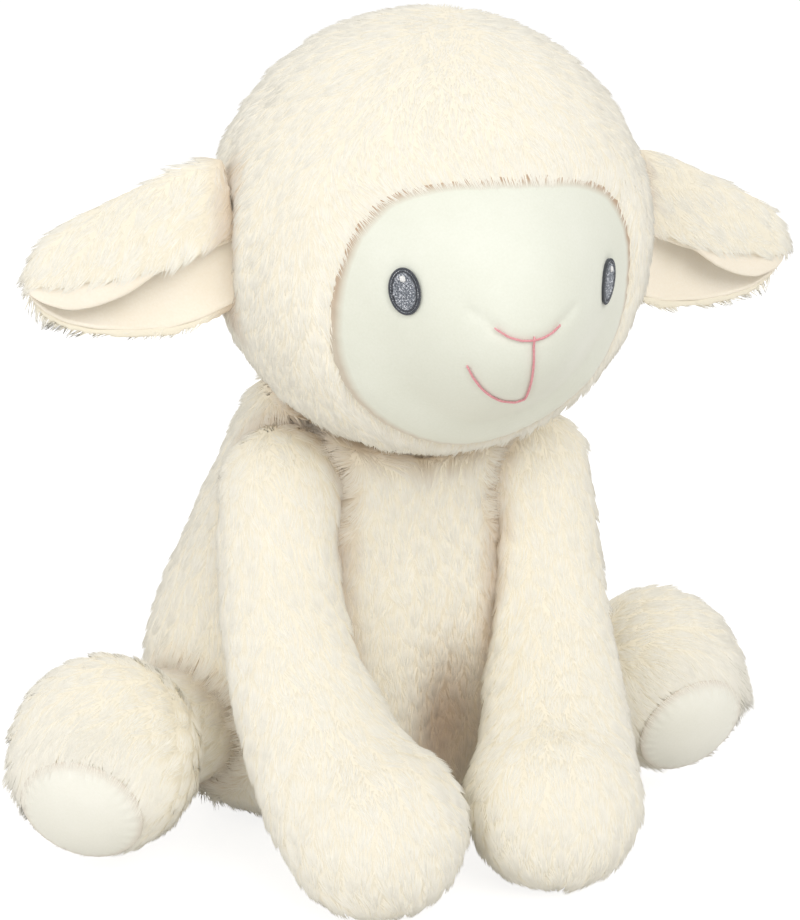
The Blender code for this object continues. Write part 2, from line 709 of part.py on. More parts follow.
def build_tail():
    root, _ = torso_point(TAIL_HEIGHT, 90.0, TAIL_INSET)
    drop = math.radians(TAIL_DROP_DEG)
    tip = root + Vector((0.0, math.cos(drop), -math.sin(drop))) * TAIL_LENGTH
    path = [(root, TAIL_ROOT_RADIUS), (root.lerp(tip, TAIL_WAIST_SHARE), TAIL_ROOT_RADIUS),
            (tip, TAIL_RADIUS)]
    pivot = pivot_at("tail_root", root)
    inside = PILE_DEPTH + SEAM_GAP
    cover = limb_form("tail_cover", path, 0.0, TAIL_SIDES, 5, FUR, pivot)
    limb_form("tail_stuffing", path, inside, TAIL_SIDES, 4, FIBRE, pivot)
    hole = rod("tail_hole", root, (0.0, -math.cos(drop), math.sin(drop)),
               TAIL_ROOT_RADIUS + CUT_RUN, TAIL_HOLE_RADIUS, 8)
    cut(cover, beside_torso("tail_side", SEAM_GAP, root, TAIL_ROOT_RADIUS),
        limb_form("tail_hollow", path, PILE_DEPTH, TAIL_SIDES, 5), hole)
    return root


def build_head(head_centre):
    neck_pivot = pivot_at("neck_turn", head_centre)
    head_pivot = pivot_at("head_nod", head_centre, neck_pivot)
    tilt = math.radians(NECK_TILT_DEG)
    down = Vector((0.0, math.sin(tilt), -math.cos(tilt)))
    seat = HEAD_RADIUS + SEAM_GAP
    plug_radius = NECK_RADIUS - SEAM_GAP
    dish = [(math.sqrt(seat ** 2 - (plug_radius * s) ** 2), plug_radius * s)
            for s in NECK_RING_SHARES]
    turned(dish + [(seat + NECK_DEPTH, plug_radius), (seat + NECK_DEPTH, 0.0)], head_centre, down,
           24, "neck_stuffing", FIBRE, neck_pivot)

    hood = build_hood(head_centre, head_pivot)
    build_face(head_centre, head_pivot)
    fill = build_head_fill(head_centre, head_pivot)
    cut(hood, rod("neck_opening", head_centre + down * (HEAD_RADIUS - 2.0 * PILE_DEPTH), down,
                  4.0 * PILE_DEPTH, NECK_RADIUS, 24))
    boss_radius = NECK_RADIUS - SEAM_GAP
    boss = [(HEAD_RADIUS / 2.0, boss_radius)]
    boss += [(math.sqrt(HEAD_RADIUS ** 2 - (boss_radius * s) ** 2), boss_radius * s)
             for s in reversed(NECK_RING_SHARES)]
    boolean(fill, turned(boss, head_centre, down, 24, "neck_boss"), "UNION")

    for side, sign in (("left", 1.0), ("right", -1.0)):
        build_eye(side, sign, head_centre, head_pivot)
        root = head_centre + Vector((sign * HEAD_RADIUS, -EAR_FORWARD, -EAR_DROP))
        ear_pivot = pivot_at(side + "_ear_seam", root, head_pivot)
        build_ear(side, sign, root, ear_pivot)
        cut(hood, root_bead(side + "_ear_groove", root, SEAM_GAP))
        cut(fill, root_bead(side + "_ear_fill_groove", root, 2.0 * SEAM_GAP))
    stitched_line("nose_embroidery", NOSE_LINE_DEG, head_centre, head_pivot, 13)
    stitched_line("mouth_embroidery", MOUTH_LINE_DEG, head_centre, head_pivot, 25)
    return down


def build_torso(head_centre, down, joints):
    """The body's cover, the fibre in it and the bag of pellets that weighs down its seat."""
    seat = HEAD_RADIUS + SEAM_GAP
    inside = PILE_DEPTH + SEAM_GAP
    cover = torso_form("body_cover", 0.0, FUR)
    fill = torso_form("body_stuffing", -inside, FIBRE)
    hollow = torso_form("body_hollow", -PILE_DEPTH)
    cut(hollow, ball("collar_wall", head_centre, seat + PILE_DEPTH, CUP_SIDES))
    cut(cover, ball("head_cup", head_centre, seat, CUP_SIDES), hollow,
        rod("collar_opening", head_centre + down * (seat - 2.0 * PILE_DEPTH), down,
            4.0 * PILE_DEPTH, NECK_RADIUS, 24))
    cut(fill, ball("fill_cup", head_centre, seat + inside, CUP_SIDES),
        rod("neck_well", head_centre + down * seat / 2.0, down,
            seat / 2.0 + NECK_DEPTH + SEAM_GAP, NECK_RADIUS, 24))
    for name, place, radius in joints:
        reach = radius / math.cos(math.pi / SEAT_SIDES) ** 2
        socket = ball(name + "_socket", place, reach + SEAM_GAP, SOCKET_SIDES)
        cut(cover, socket)
        cut(fill, socket)

    half_width, half_depth, middle = torso_section(BAG_LEVEL_SHARE)
    half_width -= BAG_MARGIN
    half_depth -= BAG_MARGIN * BAG_DEPTH_MARGIN_SHARE

    def bag(name, grow, spec=None):
        loops = []
        for height_share, girth_share in BAG_SECTION_SHARES:
            height = inside + BAG_HEIGHT * height_share + grow * (2.0 * height_share - 1.0)
            loops.append([(
                (half_width * girth_share + grow) * math.cos(2.0 * math.pi * i / 20),
                middle + (half_depth * girth_share + grow) * math.sin(2.0 * math.pi * i / 20),
                height) for i in range(20)])
        return solid(name, loops, spec, None, (0.0, middle, inside + BAG_HEIGHT + grow))

    bag("pellet_bag", 0.0, PELLETS)
    cut(fill, bag("bag_hollow", SEAM_GAP))


def floor_block(name, top):
    """A block under the floor, to flatten what rests on it."""
    span = TORSO_WIDTH
    loops = [[(-span, -span, height), (span, -span, height), (span, span, height),
              (-span, span, height)] for height in (top - PILE_DEPTH, top)]
    return solid(name, loops)


def main():
    clear_scene()
    head_centre = Vector((0.0, -NECK_LEAN - HEAD_FORWARD,
                          TORSO_HEIGHT - HEAD_SINK + HEAD_RADIUS))
    cutters = {
        "floor": floor_block("floor_cut", 0.0),
        "cover_floor": floor_block("cover_floor_cut", PILE_DEPTH),
        "fill_floor": floor_block("fill_floor_cut", PILE_DEPTH + SEAM_GAP),
    }
    joints = []
    down = build_head(head_centre)
    for side, sign, hip_height, sole_turn_deg in (
            ("left", 1.0, LEFT_HIP_HEIGHT, LEFT_SOLE_TURN_DEG),
            ("right", -1.0, RIGHT_HIP_HEIGHT, RIGHT_SOLE_TURN_DEG)):
        joints.append((side + "_arm", build_arm(side, sign, cutters), SHOULDER_RADIUS))
        hip = build_leg(side, sign, hip_height, sole_turn_deg)
        joints.append((side + "_leg", hip, HIP_RADIUS))
    joints.append(("tail", build_tail(), TAIL_ROOT_RADIUS))
    build_torso(head_centre, down, joints)
    bpy.context.view_layer.update()


main()
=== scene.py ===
# %% [markdown]
# # A plush sheep in fur, velboa and thread
#
# The solid model gives each piece its place, size and way of moving. This lesson dresses it in
# fur made of real locks, a padded face with sewn eyes, nose and mouth, folded ears and soft
# soles. The box of the solids is kept, and the dressed toy stays their size. The dressed toy
# has to stay their size.

# %% Load the solid model
import json
import math

import bmesh
import bpy
import numpy as np
from mathutils import Matrix, Vector, kdtree


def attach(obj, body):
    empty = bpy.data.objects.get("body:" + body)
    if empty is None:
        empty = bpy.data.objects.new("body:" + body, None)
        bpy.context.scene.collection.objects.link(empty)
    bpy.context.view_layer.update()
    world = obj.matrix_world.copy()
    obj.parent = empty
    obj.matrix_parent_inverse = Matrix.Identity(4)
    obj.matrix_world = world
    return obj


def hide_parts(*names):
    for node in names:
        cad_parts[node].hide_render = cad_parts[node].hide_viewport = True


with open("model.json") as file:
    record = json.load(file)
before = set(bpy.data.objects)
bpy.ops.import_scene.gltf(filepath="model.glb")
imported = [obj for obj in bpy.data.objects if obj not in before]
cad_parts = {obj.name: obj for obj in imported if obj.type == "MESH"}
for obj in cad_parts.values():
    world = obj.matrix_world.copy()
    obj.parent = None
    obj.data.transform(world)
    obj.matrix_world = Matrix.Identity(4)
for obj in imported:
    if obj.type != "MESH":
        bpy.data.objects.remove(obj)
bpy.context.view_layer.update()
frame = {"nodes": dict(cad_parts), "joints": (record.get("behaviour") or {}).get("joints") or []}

JOINTS = {joint["name"]: joint for joint in frame["joints"]}
MM = 0.001

# %% [markdown]
# ## The camera
#
# A camera is a place, a direction and a lens. The toy was looked at from a little above and
# from its right side: three angles say that, round the toy, up, and a slight roll. The shift
# moves the picture on the film without turning the camera, so the perspective stays.

# %% Camera
PICTURE_WIDE, PICTURE_HIGH = 800, 920
LOOK_ROUND_DEG, LOOK_UP_DEG, ROLL_DEG = 22.6, 14.5, 1.66
CAMERA_AWAY = 0.6775
PIXELS_PER_SLOPE = 3183.0
AIM = Vector((0.0, -0.053, 0.140))
AIM_PIXEL = (421.5, 428.6)


def linked(name, data):
    """A new object in the scene."""
    made = bpy.data.objects.new(name, data)
    bpy.context.scene.collection.objects.link(made)
    return made


def make_camera():
    turn, rise, roll = (math.radians(a) for a in (LOOK_ROUND_DEG, LOOK_UP_DEG, ROLL_DEG))
    back = Vector((-math.sin(turn) * math.cos(rise), -math.cos(turn) * math.cos(rise),
                   math.sin(rise)))
    right = Vector((math.cos(turn), -math.sin(turn), 0.0))
    up = back.cross(right)
    side = right * math.cos(roll) + up * math.sin(roll)
    top = up * math.cos(roll) - right * math.sin(roll)
    lens = bpy.data.cameras.new("camera")
    lens.sensor_width = 36.0
    lens.lens = PIXELS_PER_SLOPE * CAMERA_AWAY * lens.sensor_width / PICTURE_HIGH
    lens.shift_x = -(AIM_PIXEL[0] - PICTURE_WIDE / 2) / PICTURE_HIGH
    lens.shift_y = (AIM_PIXEL[1] - PICTURE_HIGH / 2) / PICTURE_HIGH
    lens.clip_start, lens.clip_end = 0.01, 20.0
    camera = linked("camera", lens)
    place = Matrix((side, top, back)).transposed().to_4x4()
    place.translation = AIM + back * CAMERA_AWAY
    camera.matrix_world = place
    bpy.context.scene.camera = camera


make_camera()
print("lens:", round(bpy.context.scene.camera.data.lens, 1), "mm")

# %% [markdown]
# ## Short words for nodes
#
# Materials and Geometry Nodes are both trees of nodes. A few helpers make them short to write:
# add puts in a node and gives one of its outputs, as a Flow, and Flows can be added and
# multiplied, which puts in the maths nodes. A group keeps one idea in one place, with named
# inputs, so that each user sets its own numbers.

# %% Node helpers
class Flow:
    """An output of a node that can be reckoned with: height * 2.0 adds a Multiply node."""

    def __init__(self, tree, socket):
        self.tree, self.socket = tree, socket
        self.is_vector = socket.type in ("VECTOR", "RGBA")

    def of(self, output):
        """Another output of the same node."""
        return Flow(self.tree, self.socket.node.outputs[output])

    def __add__(self, other):
        return maths("ADD", self, other)

    def __sub__(self, other):
        return maths("SUBTRACT", self, other)

    def __rsub__(self, other):
        return maths("SUBTRACT", other, self)

    def __mul__(self, other):
        return maths("SCALE" if self.is_vector else "MULTIPLY", self, other)


def add(tree, kind, inputs=(), output=0, **settings):
    """Adds a node; inputs are (socket, value or Flow) pairs."""
    made = tree.nodes.new(kind)
    for key, value in settings.items():
        setattr(made, key, value)
    for socket, value in inputs:
        if isinstance(value, Flow):
            tree.links.new(value.socket, made.inputs[socket])
        else:
            made.inputs[socket].default_value = value
    return Flow(tree, made.outputs[output]) if made.outputs else made


def maths(operation, *values):
    """A maths node, for vectors where the first Flow is one."""
    flow = next(value for value in values if isinstance(value, Flow))
    sockets = (0, "Scale") if operation == "SCALE" else range(len(values))
    return add(flow.tree, "ShaderNodeVectorMath" if flow.is_vector else "ShaderNodeMath",
               zip(sockets, values), 1 if operation in ("LENGTH", "DOT_PRODUCT") else 0,
               operation=operation)


def noise(where, scale, detail, output="Fac"):
    return add(where.tree, "ShaderNodeTexNoise",
               (("Vector", where), ("Scale", scale), ("Detail", detail)), output)


def stretched(value, low, high, top=1.0, kind="LINEAR"):
    """Turns low to high into 0 to top."""
    return add(value.tree, "ShaderNodeMapRange", (
        ("Value", value), ("From Min", low), ("From Max", high), ("To Max", top)), "Result",
        interpolation_type=kind)


def mixed(share, first, second):
    return add(share.tree, "ShaderNodeMix", (("Factor", share), (6, first), (7, second)), 2,
               data_type="RGBA")


def attribute(tree, name):
    return add(tree, "ShaderNodeAttribute", (), "Fac", attribute_name=name)


def feed(shader, socket, flow):
    flow.tree.links.new(flow.socket, shader.inputs[socket])


def new_group(name, kind, inputs, outputs):
    """A node group; gives it and its inputs as Flows."""
    group = bpy.data.node_groups.new(name, kind + "NodeTree")
    for in_out, sockets in (("INPUT", inputs), ("OUTPUT", outputs)):
        for label, form, *default in sockets:
            socket = group.interface.new_socket(label, in_out=in_out,
                                                socket_type="NodeSocket" + form)
            if default:
                socket.default_value = default[0]
    entry = group.nodes.new("NodeGroupInput")
    return group, {socket.name: Flow(group, socket) for socket in entry.outputs[:-1]}


print("node helpers are ready")

# %% [markdown]
# ## Light and floor
#
# Pale fur needs plain light: a large soft lamp above and in front, a wide fill, a lamp behind
# and a white sky. They are only bright enough for a colour to come out as it is written. The
# white behind the toy is the floor's and sky's own colour for the camera, not more light.

# %% Light and floor
SKY_STRENGTH, SKY_COLOUR = 0.70, (1.0, 0.975, 0.94, 1.0)
WHITE_LIGHT, FLOOR_COLOUR = (1.0, 1.0, 1.0, 1.0), (0.74, 0.73, 0.71, 1.0)
FLOOR_GLOW, FLOOR_SHADOW, FLOOR_SPAN = 0.82, (0.35, 0.35, 0.35, 1.0), 6.0
LAMPS = (
    # name, place, watts, size, colour
    ("key", (0.10, -1.20, 1.10), 8.0, 0.9, (1.0, 0.995, 0.98)),
    ("fill", (-1.10, -0.60, 0.50), 4.0, 1.1, (1.0, 0.99, 0.97)),
    ("rim", (0.30, 1.10, 1.00), 5.0, 0.9, (1.0, 1.0, 1.0)),
)


def white_for_camera(owner, lit, shown, output):
    """Shows one shader to camera, glossy and clear rays, and lights with another."""
    tree = owner.node_tree
    path = add(tree, "ShaderNodeLightPath", (), "Is Camera Ray")
    direct = maths("MAXIMUM", maths("MAXIMUM", path, path.of("Is Glossy Ray")),
                   path.of("Is Transmission Ray"))
    add(tree, output, (("Surface", add(tree, "ShaderNodeMixShader",
                                       enumerate((direct, lit, shown)))),))


def emptied(owner):
    owner.use_nodes = True
    owner.node_tree.nodes.clear()
    return owner.node_tree


def make_sky():
    world = bpy.context.scene.world = bpy.data.worlds.new("white_sky")
    lit, shown = (add(tree, "ShaderNodeBackground", (("Color", tint), ("Strength", strength)))
                  for tree, tint, strength in ((emptied(world), SKY_COLOUR, SKY_STRENGTH),
                                               (world.node_tree, WHITE_LIGHT, 1.0)))
    white_for_camera(world, lit, shown, "ShaderNodeOutputWorld")


def make_floor():
    mesh, span = bpy.data.meshes.new("floor"), FLOOR_SPAN
    mesh.from_pydata([(-span, -span, 0), (span, -span, 0), (span, span, 0), (-span, span, 0)],
                     [], [(0, 1, 2, 3)])
    material = bpy.data.materials.new("white_floor")
    tree = emptied(material)
    matt, shadow = (add(tree, "ShaderNodeBsdfDiffuse", (("Color", tint),))
                    for tint in (FLOOR_COLOUR, FLOOR_SHADOW))
    glow = add(tree, "ShaderNodeEmission", (("Color", WHITE_LIGHT), ("Strength", FLOOR_GLOW)))
    shown = add(tree, "ShaderNodeAddShader", enumerate((shadow, glow)))
    white_for_camera(material, matt, shown, "ShaderNodeOutputMaterial")
    mesh.materials.append(material)
    linked("floor", mesh)


def make_lamp(name, place, watts, size, tint):
    data = bpy.data.lights.new(name, "AREA")
    data.shape = "DISK"
    data.energy, data.size, data.color = watts, size, tint
    lamp = linked(name, data)
    lamp.location = place
    lamp.rotation_mode = "QUATERNION"
    lamp.rotation_quaternion = (AIM - Vector(place)).to_track_quat("-Z", "Y")


make_sky()
make_floor()
for lamp in LAMPS:
    make_lamp(*lamp)
bpy.context.scene.view_settings.view_transform = "Standard"
print("lamps:", len(LAMPS))

# %% [markdown]
# ## Colours that change as cloth does
#
# No cloth has one flat colour. This group mixes a light and a dark shade in soft patches with
# fine flecks over them, and puts out a height for a bump. It reads Object coordinates, because
# the pieces are finished in real metres.

# %% Cloth group
def cloth_group():
    group, into = new_group("cloth_patches", "Shader", (
        ("Light", "Color", (1, 1, 1, 1)), ("Dark", "Color", (0.5, 0.5, 0.5, 1)),
        ("Patch Scale", "Float", 60.0), ("Fleck Scale", "Float", 1500.0),
        ("Fleck Share", "Float", 0.3)), (("Color", "Color"), ("Height", "Float")))
    where = add(group, "ShaderNodeTexCoord", (), "Object")
    flecks = noise(where, into["Fleck Scale"], 1.0)
    patches = noise(where, into["Patch Scale"], 3.0)
    both = flecks * into["Fleck Share"] + patches * (1.0 - into["Fleck Share"])
    shade = mixed(stretched(both, 0.30, 0.70), into["Dark"], into["Light"])
    add(group, "NodeGroupOutput", (("Color", shade), ("Height", both)))
    return group


CLOTH = cloth_group()
print("group:", CLOTH.name, "with", len(CLOTH.nodes), "nodes")

# %% [markdown]
# ## Fur, velboa, lining and fibre
#
# Fur is painted warmer and darker at its roots than at its tips, as painted shade for the depth
# of
# the pile: each lock carries an attribute, along, 0 at the root and 1 at the tip. Another
# attribute paints shade on as a tan: in creases between parts, in the lap and along the seams.
# Velboa has a very short nap, so it needs only flecks, a low bump and some sheen, the soft
# glow of nap seen edge on.

# %% Cloth materials
SHEEN_ROUGHNESS = 0.45


def colour(*levels):
    """A colour as paint programs give it, 0 to 255, in the linear light that shaders use."""
    linear = [c / 12.92 / 255.0 if c <= 10.3 else ((c / 255.0 + 0.055) / 1.055) ** 2.4
              for c in levels]
    return (*linear, 1.0)


# a tan that stands for painted shade in creases, in the lap and along the seams
PAINTED_SHADE_TAN = colour(176, 142, 112)


def new_material(name, roughness, sheen, specular):
    material = bpy.data.materials.new(name)
    material.use_nodes = True
    shader = material.node_tree.nodes["Principled BSDF"]
    for socket, value in (("Roughness", roughness), ("Specular IOR Level", specular),
                          ("Sheen Weight", sheen), ("Sheen Roughness", SHEEN_ROUGHNESS)):
        shader.inputs[socket].default_value = value
    return material, material.node_tree, shader


def cloth_colour(tree, light, dark, patch, fleck):
    return add(tree, "ShaderNodeGroup", (
        ("Light", light), ("Dark", dark), ("Patch Scale", patch), ("Fleck Scale", fleck),
        ("Fleck Share", 0.35)), "Color", node_tree=CLOTH)


def bump(shader, height, strength, distance):
    feed(shader, "Normal", add(height.tree, "ShaderNodeBump", (
        ("Height", height), ("Strength", strength), ("Distance", distance)), "Normal"))


# Painted shade: mixes a surface's colour towards the tan where its painted-shade attribute is
# high.
def painted_shade_tint(shader, surface):
    feed(shader, "Base Color", mixed(attribute(surface.tree, "nook"), surface, PAINTED_SHADE_TAN))


def fur_material(name, root, tip_light, tip_dark):
    """Pale tips on warmer, darker roots, which are painted shade for the depth of the pile. A
    soft normal that points into a lock is mirrored out of it, or the lock's underside would be
    black."""
    material, tree, shader = new_material(name, 0.90, 0.08, 0.0)
    normal = add(tree, "ShaderNodeNewGeometry", (), "Normal")
    face = normal.of("True Normal")
    inward = maths("MINIMUM", maths("DOT_PRODUCT", normal, face), 0.0)
    feed(shader, "Normal", normal + face * (inward * -2.0))
    # painted shade: the colour runs from the darker root colour up to the pale tips
    rise = stretched(attribute(tree, "along"), 0.0, 0.6, kind="SMOOTHSTEP")
    lock = mixed(rise, root, cloth_colour(tree, tip_light, tip_dark, 70.0, 400.0))
    dim = stretched(attribute(tree, "shade"), 0.0, 1.0, 0.22)
    # painted shade in creases, the lap and along the seams darkens it further towards tan
    painted_shade_tint(shader, mixed(dim, lock, root))
    return material


def nap_material(name, light, dark, patch=45.0, fleck=1400.0, depth=0.00012):
    material, tree, shader = new_material(name, 0.80, 0.35, 0.20)
    cloth = cloth_colour(tree, light, dark, patch, fleck)
    # painted shade along seams and rims, from the attribute
    painted_shade_tint(shader, cloth)
    bump(shader, cloth.of("Height"), 0.5, depth)
    return material


# the first colour, the roots' and the pelt's under the locks, is darker and warmer: painted shade
# for the depth of the pile
FUR = fur_material("cream_fur", colour(240, 234, 217), colour(250, 248, 239),
                   colour(245, 242, 231))
VELBOA = nap_material("ivory_velboa", colour(232, 235, 225), colour(225, 228, 216))
SOLE_CLOTH = nap_material("ivory_sole_cloth", colour(245, 245, 237), colour(239, 239, 229))
LINING = nap_material("cream_lining", colour(251, 245, 233), colour(245, 236, 219))
FIBRE = nap_material("fibre_fill", colour(246, 246, 246), colour(225, 225, 225), 200.0, 900.0,
                     0.0005)
print("materials:", len(bpy.data.materials))

# %% [markdown]
# ## Helpers for meshes
#
# A modifier only changes what is shown. Reading the evaluated object gives that shown shape
# as a plain mesh, which is what a finished piece should be.

# %% Mesh helpers
def new_piece(name, points, faces):
    mesh = bpy.data.meshes.new(name)
    mesh.from_pydata([tuple(point) for point in points], [], faces)
    return linked(name, mesh)


def settle(piece):
    """Applies all modifiers, so that the piece is a plain mesh."""
    bpy.context.view_layer.update()
    shown = piece.evaluated_get(bpy.context.evaluated_depsgraph_get())
    mesh = bpy.data.meshes.new_from_object(shown)
    piece.modifiers.clear()
    old = piece.data
    piece.data = mesh
    mesh.name = piece.name
    if old.users == 0:
        bpy.data.meshes.remove(old)
    return piece


def edited(mesh, change, *sources):
    """Fills a mesh from others and lets a function work on it."""
    edit = bmesh.new()
    for source in sources:
        edit.from_mesh(source)
    change(edit)
    edit.to_mesh(mesh)
    edit.free()
    return mesh


def merged_copy(name, *cad_nodes):
    """A welded copy of some solids, because a solid's own mesh is loose triangles."""
    return linked(name, edited(
        bpy.data.meshes.new(name),
        lambda edit: bmesh.ops.remove_doubles(edit, verts=edit.verts, dist=0.01 * MM),
        *(frame["nodes"][cad_node].data for cad_node in cad_nodes)))


def read(items, field):
    flat = np.empty(len(items) * 3)
    items.foreach_get(field, flat)
    return flat.reshape(-1, 3)


def points_of(mesh):
    return read(mesh.vertices, "co")


def normals_of(mesh):
    return read(mesh.vertex_normals, "vector")


def set_points(mesh, points):
    mesh.vertices.foreach_set("co", np.asarray(points, np.float32).ravel())
    mesh.update()


def store(mesh, name, values):
    values = np.asarray(values, np.float32)
    kind = "FLOAT_VECTOR" if values.ndim == 2 else "FLOAT"
    kept = mesh.attributes.get(name) or mesh.attributes.new(name, kind, "POINT")
    kept.data.foreach_set("vector" if values.ndim == 2 else "value", values.ravel())


def lengths(vectors):
    return np.linalg.norm(vectors, axis=-1)


def unit(vectors):
    return vectors / np.maximum(lengths(vectors)[..., None], 1e-9)


def ramp(values, low, high):
    return np.clip((values - low) / (high - low), 0.0, 1.0)


def soft(share):
    return share * share * (3.0 - 2.0 * share)


print("mesh helpers are ready")

# %% [markdown]
# ## Skins under the fur
#
# Under the fur each cover is a sewn bag. The voxel remesh turns the facets of its solids into
# one even closed surface, which then lies a little under the tips of the pile.

# %% Skins
SKINS = {"body_fur": ("torso", ("body_cover", "body_stuffing", "pellet_bag")),
         "head_fur": ("head", ("head_cover", "head_stuffing"))}
for part in ("left_arm", "right_arm", "left_leg", "right_leg", "tail"):
    SKINS[part + "_fur"] = (part, (part + "_cover", part + "_stuffing"))
VOXEL, TAIL_VOXEL, EAR_VOXEL, UNDER_PILE = 3.0 * MM, 2.5 * MM, 1.5 * MM, 0.8 * MM


def remeshed(piece, voxel, inset, rounds=5):
    remesh = piece.modifiers.new("even", "REMESH")
    remesh.mode, remesh.voxel_size = "VOXEL", voxel
    smooth = piece.modifiers.new("smooth", "SMOOTH")
    smooth.factor, smooth.iterations = 0.5, rounds
    mesh = settle(piece).data
    set_points(mesh, points_of(mesh) - normals_of(mesh) * inset)
    return piece


skins = {name: remeshed(merged_copy(name, *solids), TAIL_VOXEL if body == "tail" else VOXEL,
                        UNDER_PILE) for name, (body, solids) in SKINS.items()}
print("skin faces:", {name: len(skin.data.polygons) for name, skin in skins.items()})

# %% [markdown]
# ## The hollow of the lap
#
# Between the arms the belly of a sitting toy is drawn in, and that makes a deep warm shade
# there; further on, shade is also painted into the fur's colour there. The skin is pressed in,
# most in the middle.

# %% Lap
LAP_MIDDLE, LAP_SPREAD, LAP_DEPTH = (14.0 * MM, 36.0 * MM), (14.0 * MM, 28.0 * MM), 14.0 * MM


def lap_share(points):
    """How much each point belongs to the hollow, 1 in its middle."""
    away = ((points[:, 0] - LAP_MIDDLE[0]) / LAP_SPREAD[0]) ** 2
    away += ((points[:, 2] - LAP_MIDDLE[1]) / LAP_SPREAD[1]) ** 2
    return np.exp(-away) * (points[:, 1] < -5.0 * MM)


pressed = points_of(skins["body_fur"].data)
pressed[:, 1] += LAP_DEPTH * lap_share(pressed)
set_points(skins["body_fur"].data, pressed)
print("lap pressed in", LAP_DEPTH / MM, "mm")

# %% [markdown]
# ## The form of the face
#
# Each direction from the middle of the head meets the face's cloth somewhere, and a formula
# says how far out: a ball with a swell for the muzzle. The seam, the nose, the mouth and the
# eyes are given as directions too, in degrees, so they always lie on the cloth.

# %% Face form
HEAD_CENTRE = np.array(JOINTS["head_nod"]["pos_m"])
FACE_DROP_DEG = 19.0
FACE_SEAM_DEG = (41.0, 42.5, 46.5, 50.5, 50.5, 48.5, 46.5, 45.0, 43.5, 42.0, 41.0, 41.0, 41.5)
FACE_BALL, MUZZLE_DEPTH = 64.0 * MM, 16.0 * MM
MUZZLE_SIDE_DEG, MUZZLE_RISE_DEG, MUZZLE_DROP_DEG = 24.0, 26.0, 14.0
NOSE_LINE_DEG = ((-7.9, -10.8), (-5.4, -12.2), (-2.7, -12.9), (0.0, -12.9), (2.1, -12.5),
                 (4.1, -11.7), (6.0, -10.4))
MOUTH_LINE_DEG = ((0.0, -12.7), (0.1, -14.4), (0.8, -17.5), (1.6, -21.0), (2.7, -25.3),
                  (4.1, -30.0), (4.4, -31.4), (2.2, -32.2), (-2.4, -31.0), (-5.8, -29.0),
                  (-8.8, -26.4), (-11.3, -23.3), (-12.9, -20.6))
CREASE_LINES_DEG = (((-7.9, -10.8), (-10.6, -8.6), (-13.6, -7.6)),
                    ((6.0, -10.4), (8.6, -8.4), (11.0, -7.4)))
EYE_SIDE_DEG, EYE_DROP_DEG, EYE_TILT_DEG = 28.0, 5.1, 8.0
EYE_HALF = np.array((4.7, 6.7)) * MM
drop = math.radians(FACE_DROP_DEG)
FACE_LINE = np.array((0.0, -math.cos(drop), -math.sin(drop)))
FACE_UP = np.array((0.0, -math.sin(drop), math.cos(drop)))
FACE_SIDE = np.array((1.0, 0.0, 0.0))


def seam_angle(turn):
    """The angle from the face's centre line to its seam, for turns round it from the brow."""
    place = np.degrees(np.arccos(np.clip(np.cos(turn), -1.0, 1.0)))
    steps = np.linspace(0.0, 180.0, len(FACE_SEAM_DEG))
    return np.radians(np.interp(place, steps, FACE_SEAM_DEG))


def look(side_deg, rise_deg):
    side, rise = np.radians(side_deg), np.radians(rise_deg)
    return np.stack((np.sin(side) * np.cos(rise), -np.cos(side) * np.cos(rise), np.sin(rise)),
                    axis=-1)


def on_face(ways, lift=0.0):
    """Points of the face in the given directions, lifted off the cloth."""
    side = np.degrees(np.arctan2(ways[:, 0], -ways[:, 1])) / MUZZLE_SIDE_DEG
    rise = (np.degrees(np.arcsin(np.clip(ways[:, 2], -1.0, 1.0))) + MUZZLE_DROP_DEG)
    swell = np.exp(-side ** 2 - (rise / MUZZLE_RISE_DEG) ** 2)
    return HEAD_CENTRE + ways * (FACE_BALL + MUZZLE_DEPTH * swell + lift)[:, None]


def line_points(line_deg, step=0.6 * MM):
    """Evenly spaced directions along a stitched line."""
    ways = look(*np.array(line_deg).T)
    runs = np.r_[0.0, np.cumsum(lengths(np.diff(on_face(ways), axis=0)))]
    at = np.linspace(0.0, runs[-1], max(3, int(runs[-1] / step) + 1))
    return unit(np.stack([np.interp(at, runs, ways[:, k]) for k in range(3)], axis=1))


def eye_axes(sign):
    """The middle of an eye on the face, and its short and long directions."""
    middle = look(sign * EYE_SIDE_DEG, -EYE_DROP_DEG)
    side = unit(np.cross((0.0, 0.0, 1.0), -middle))
    rise = np.cross(side, middle)
    rise = rise * np.sign(rise[2])
    tilt = math.radians(sign * EYE_TILT_DEG)
    return (on_face(middle[None])[0], side * math.cos(tilt) + rise * math.sin(tilt),
            rise * math.cos(tilt) - side * math.sin(tilt))


print("face middle:", (HEAD_CENTRE / MM).round(1))

# %% [markdown]
# ## Face and soles, cut as round sheets
#
# A sheet is modelled from rings of 6, 12, 18 points and so on: its triangles are then all
# about the same size, which a cloth simulation likes, and there is no pinched pole. Stitches
# pull the cloth in, so a narrow dent follows the nose, the mouth and the eyes, and small folds
# run in from the seam.

# %% Face and sole sheets
FACE_RINGS, SOLE_RINGS, FACE_TUCK_DEG = 38, 16, 4.0
# how deep and how wide the cloth is drawn in
THREAD_DENT, THREAD_SPREAD = 0.55 * MM, 1.5 * MM
CREASE_DENT, CREASE_SPREAD = 0.95 * MM, 1.2 * MM
EYE_DENT, EYE_DENT_SHARES = 0.45 * MM, (0.95, 1.35)
FOLD_DEPTH, FOLD_INSIDE, FOLD_SPREAD = 0.30 * MM, 3.0 * MM, 4.5 * MM
# how far the cloth reaches in, the chin's swell, and how strong the painted shade along the seam
# is
FACE_REACH, CHIN_SWELL, RIM_SHADE_PAINT = 0.85 * FACE_BALL, 3.4 * MM, 0.85
SOLE_RADIUS, SOLE_DOME, SOLE_FOLDS = 19.2 * MM, 5.0 * MM, 0.22 * MM


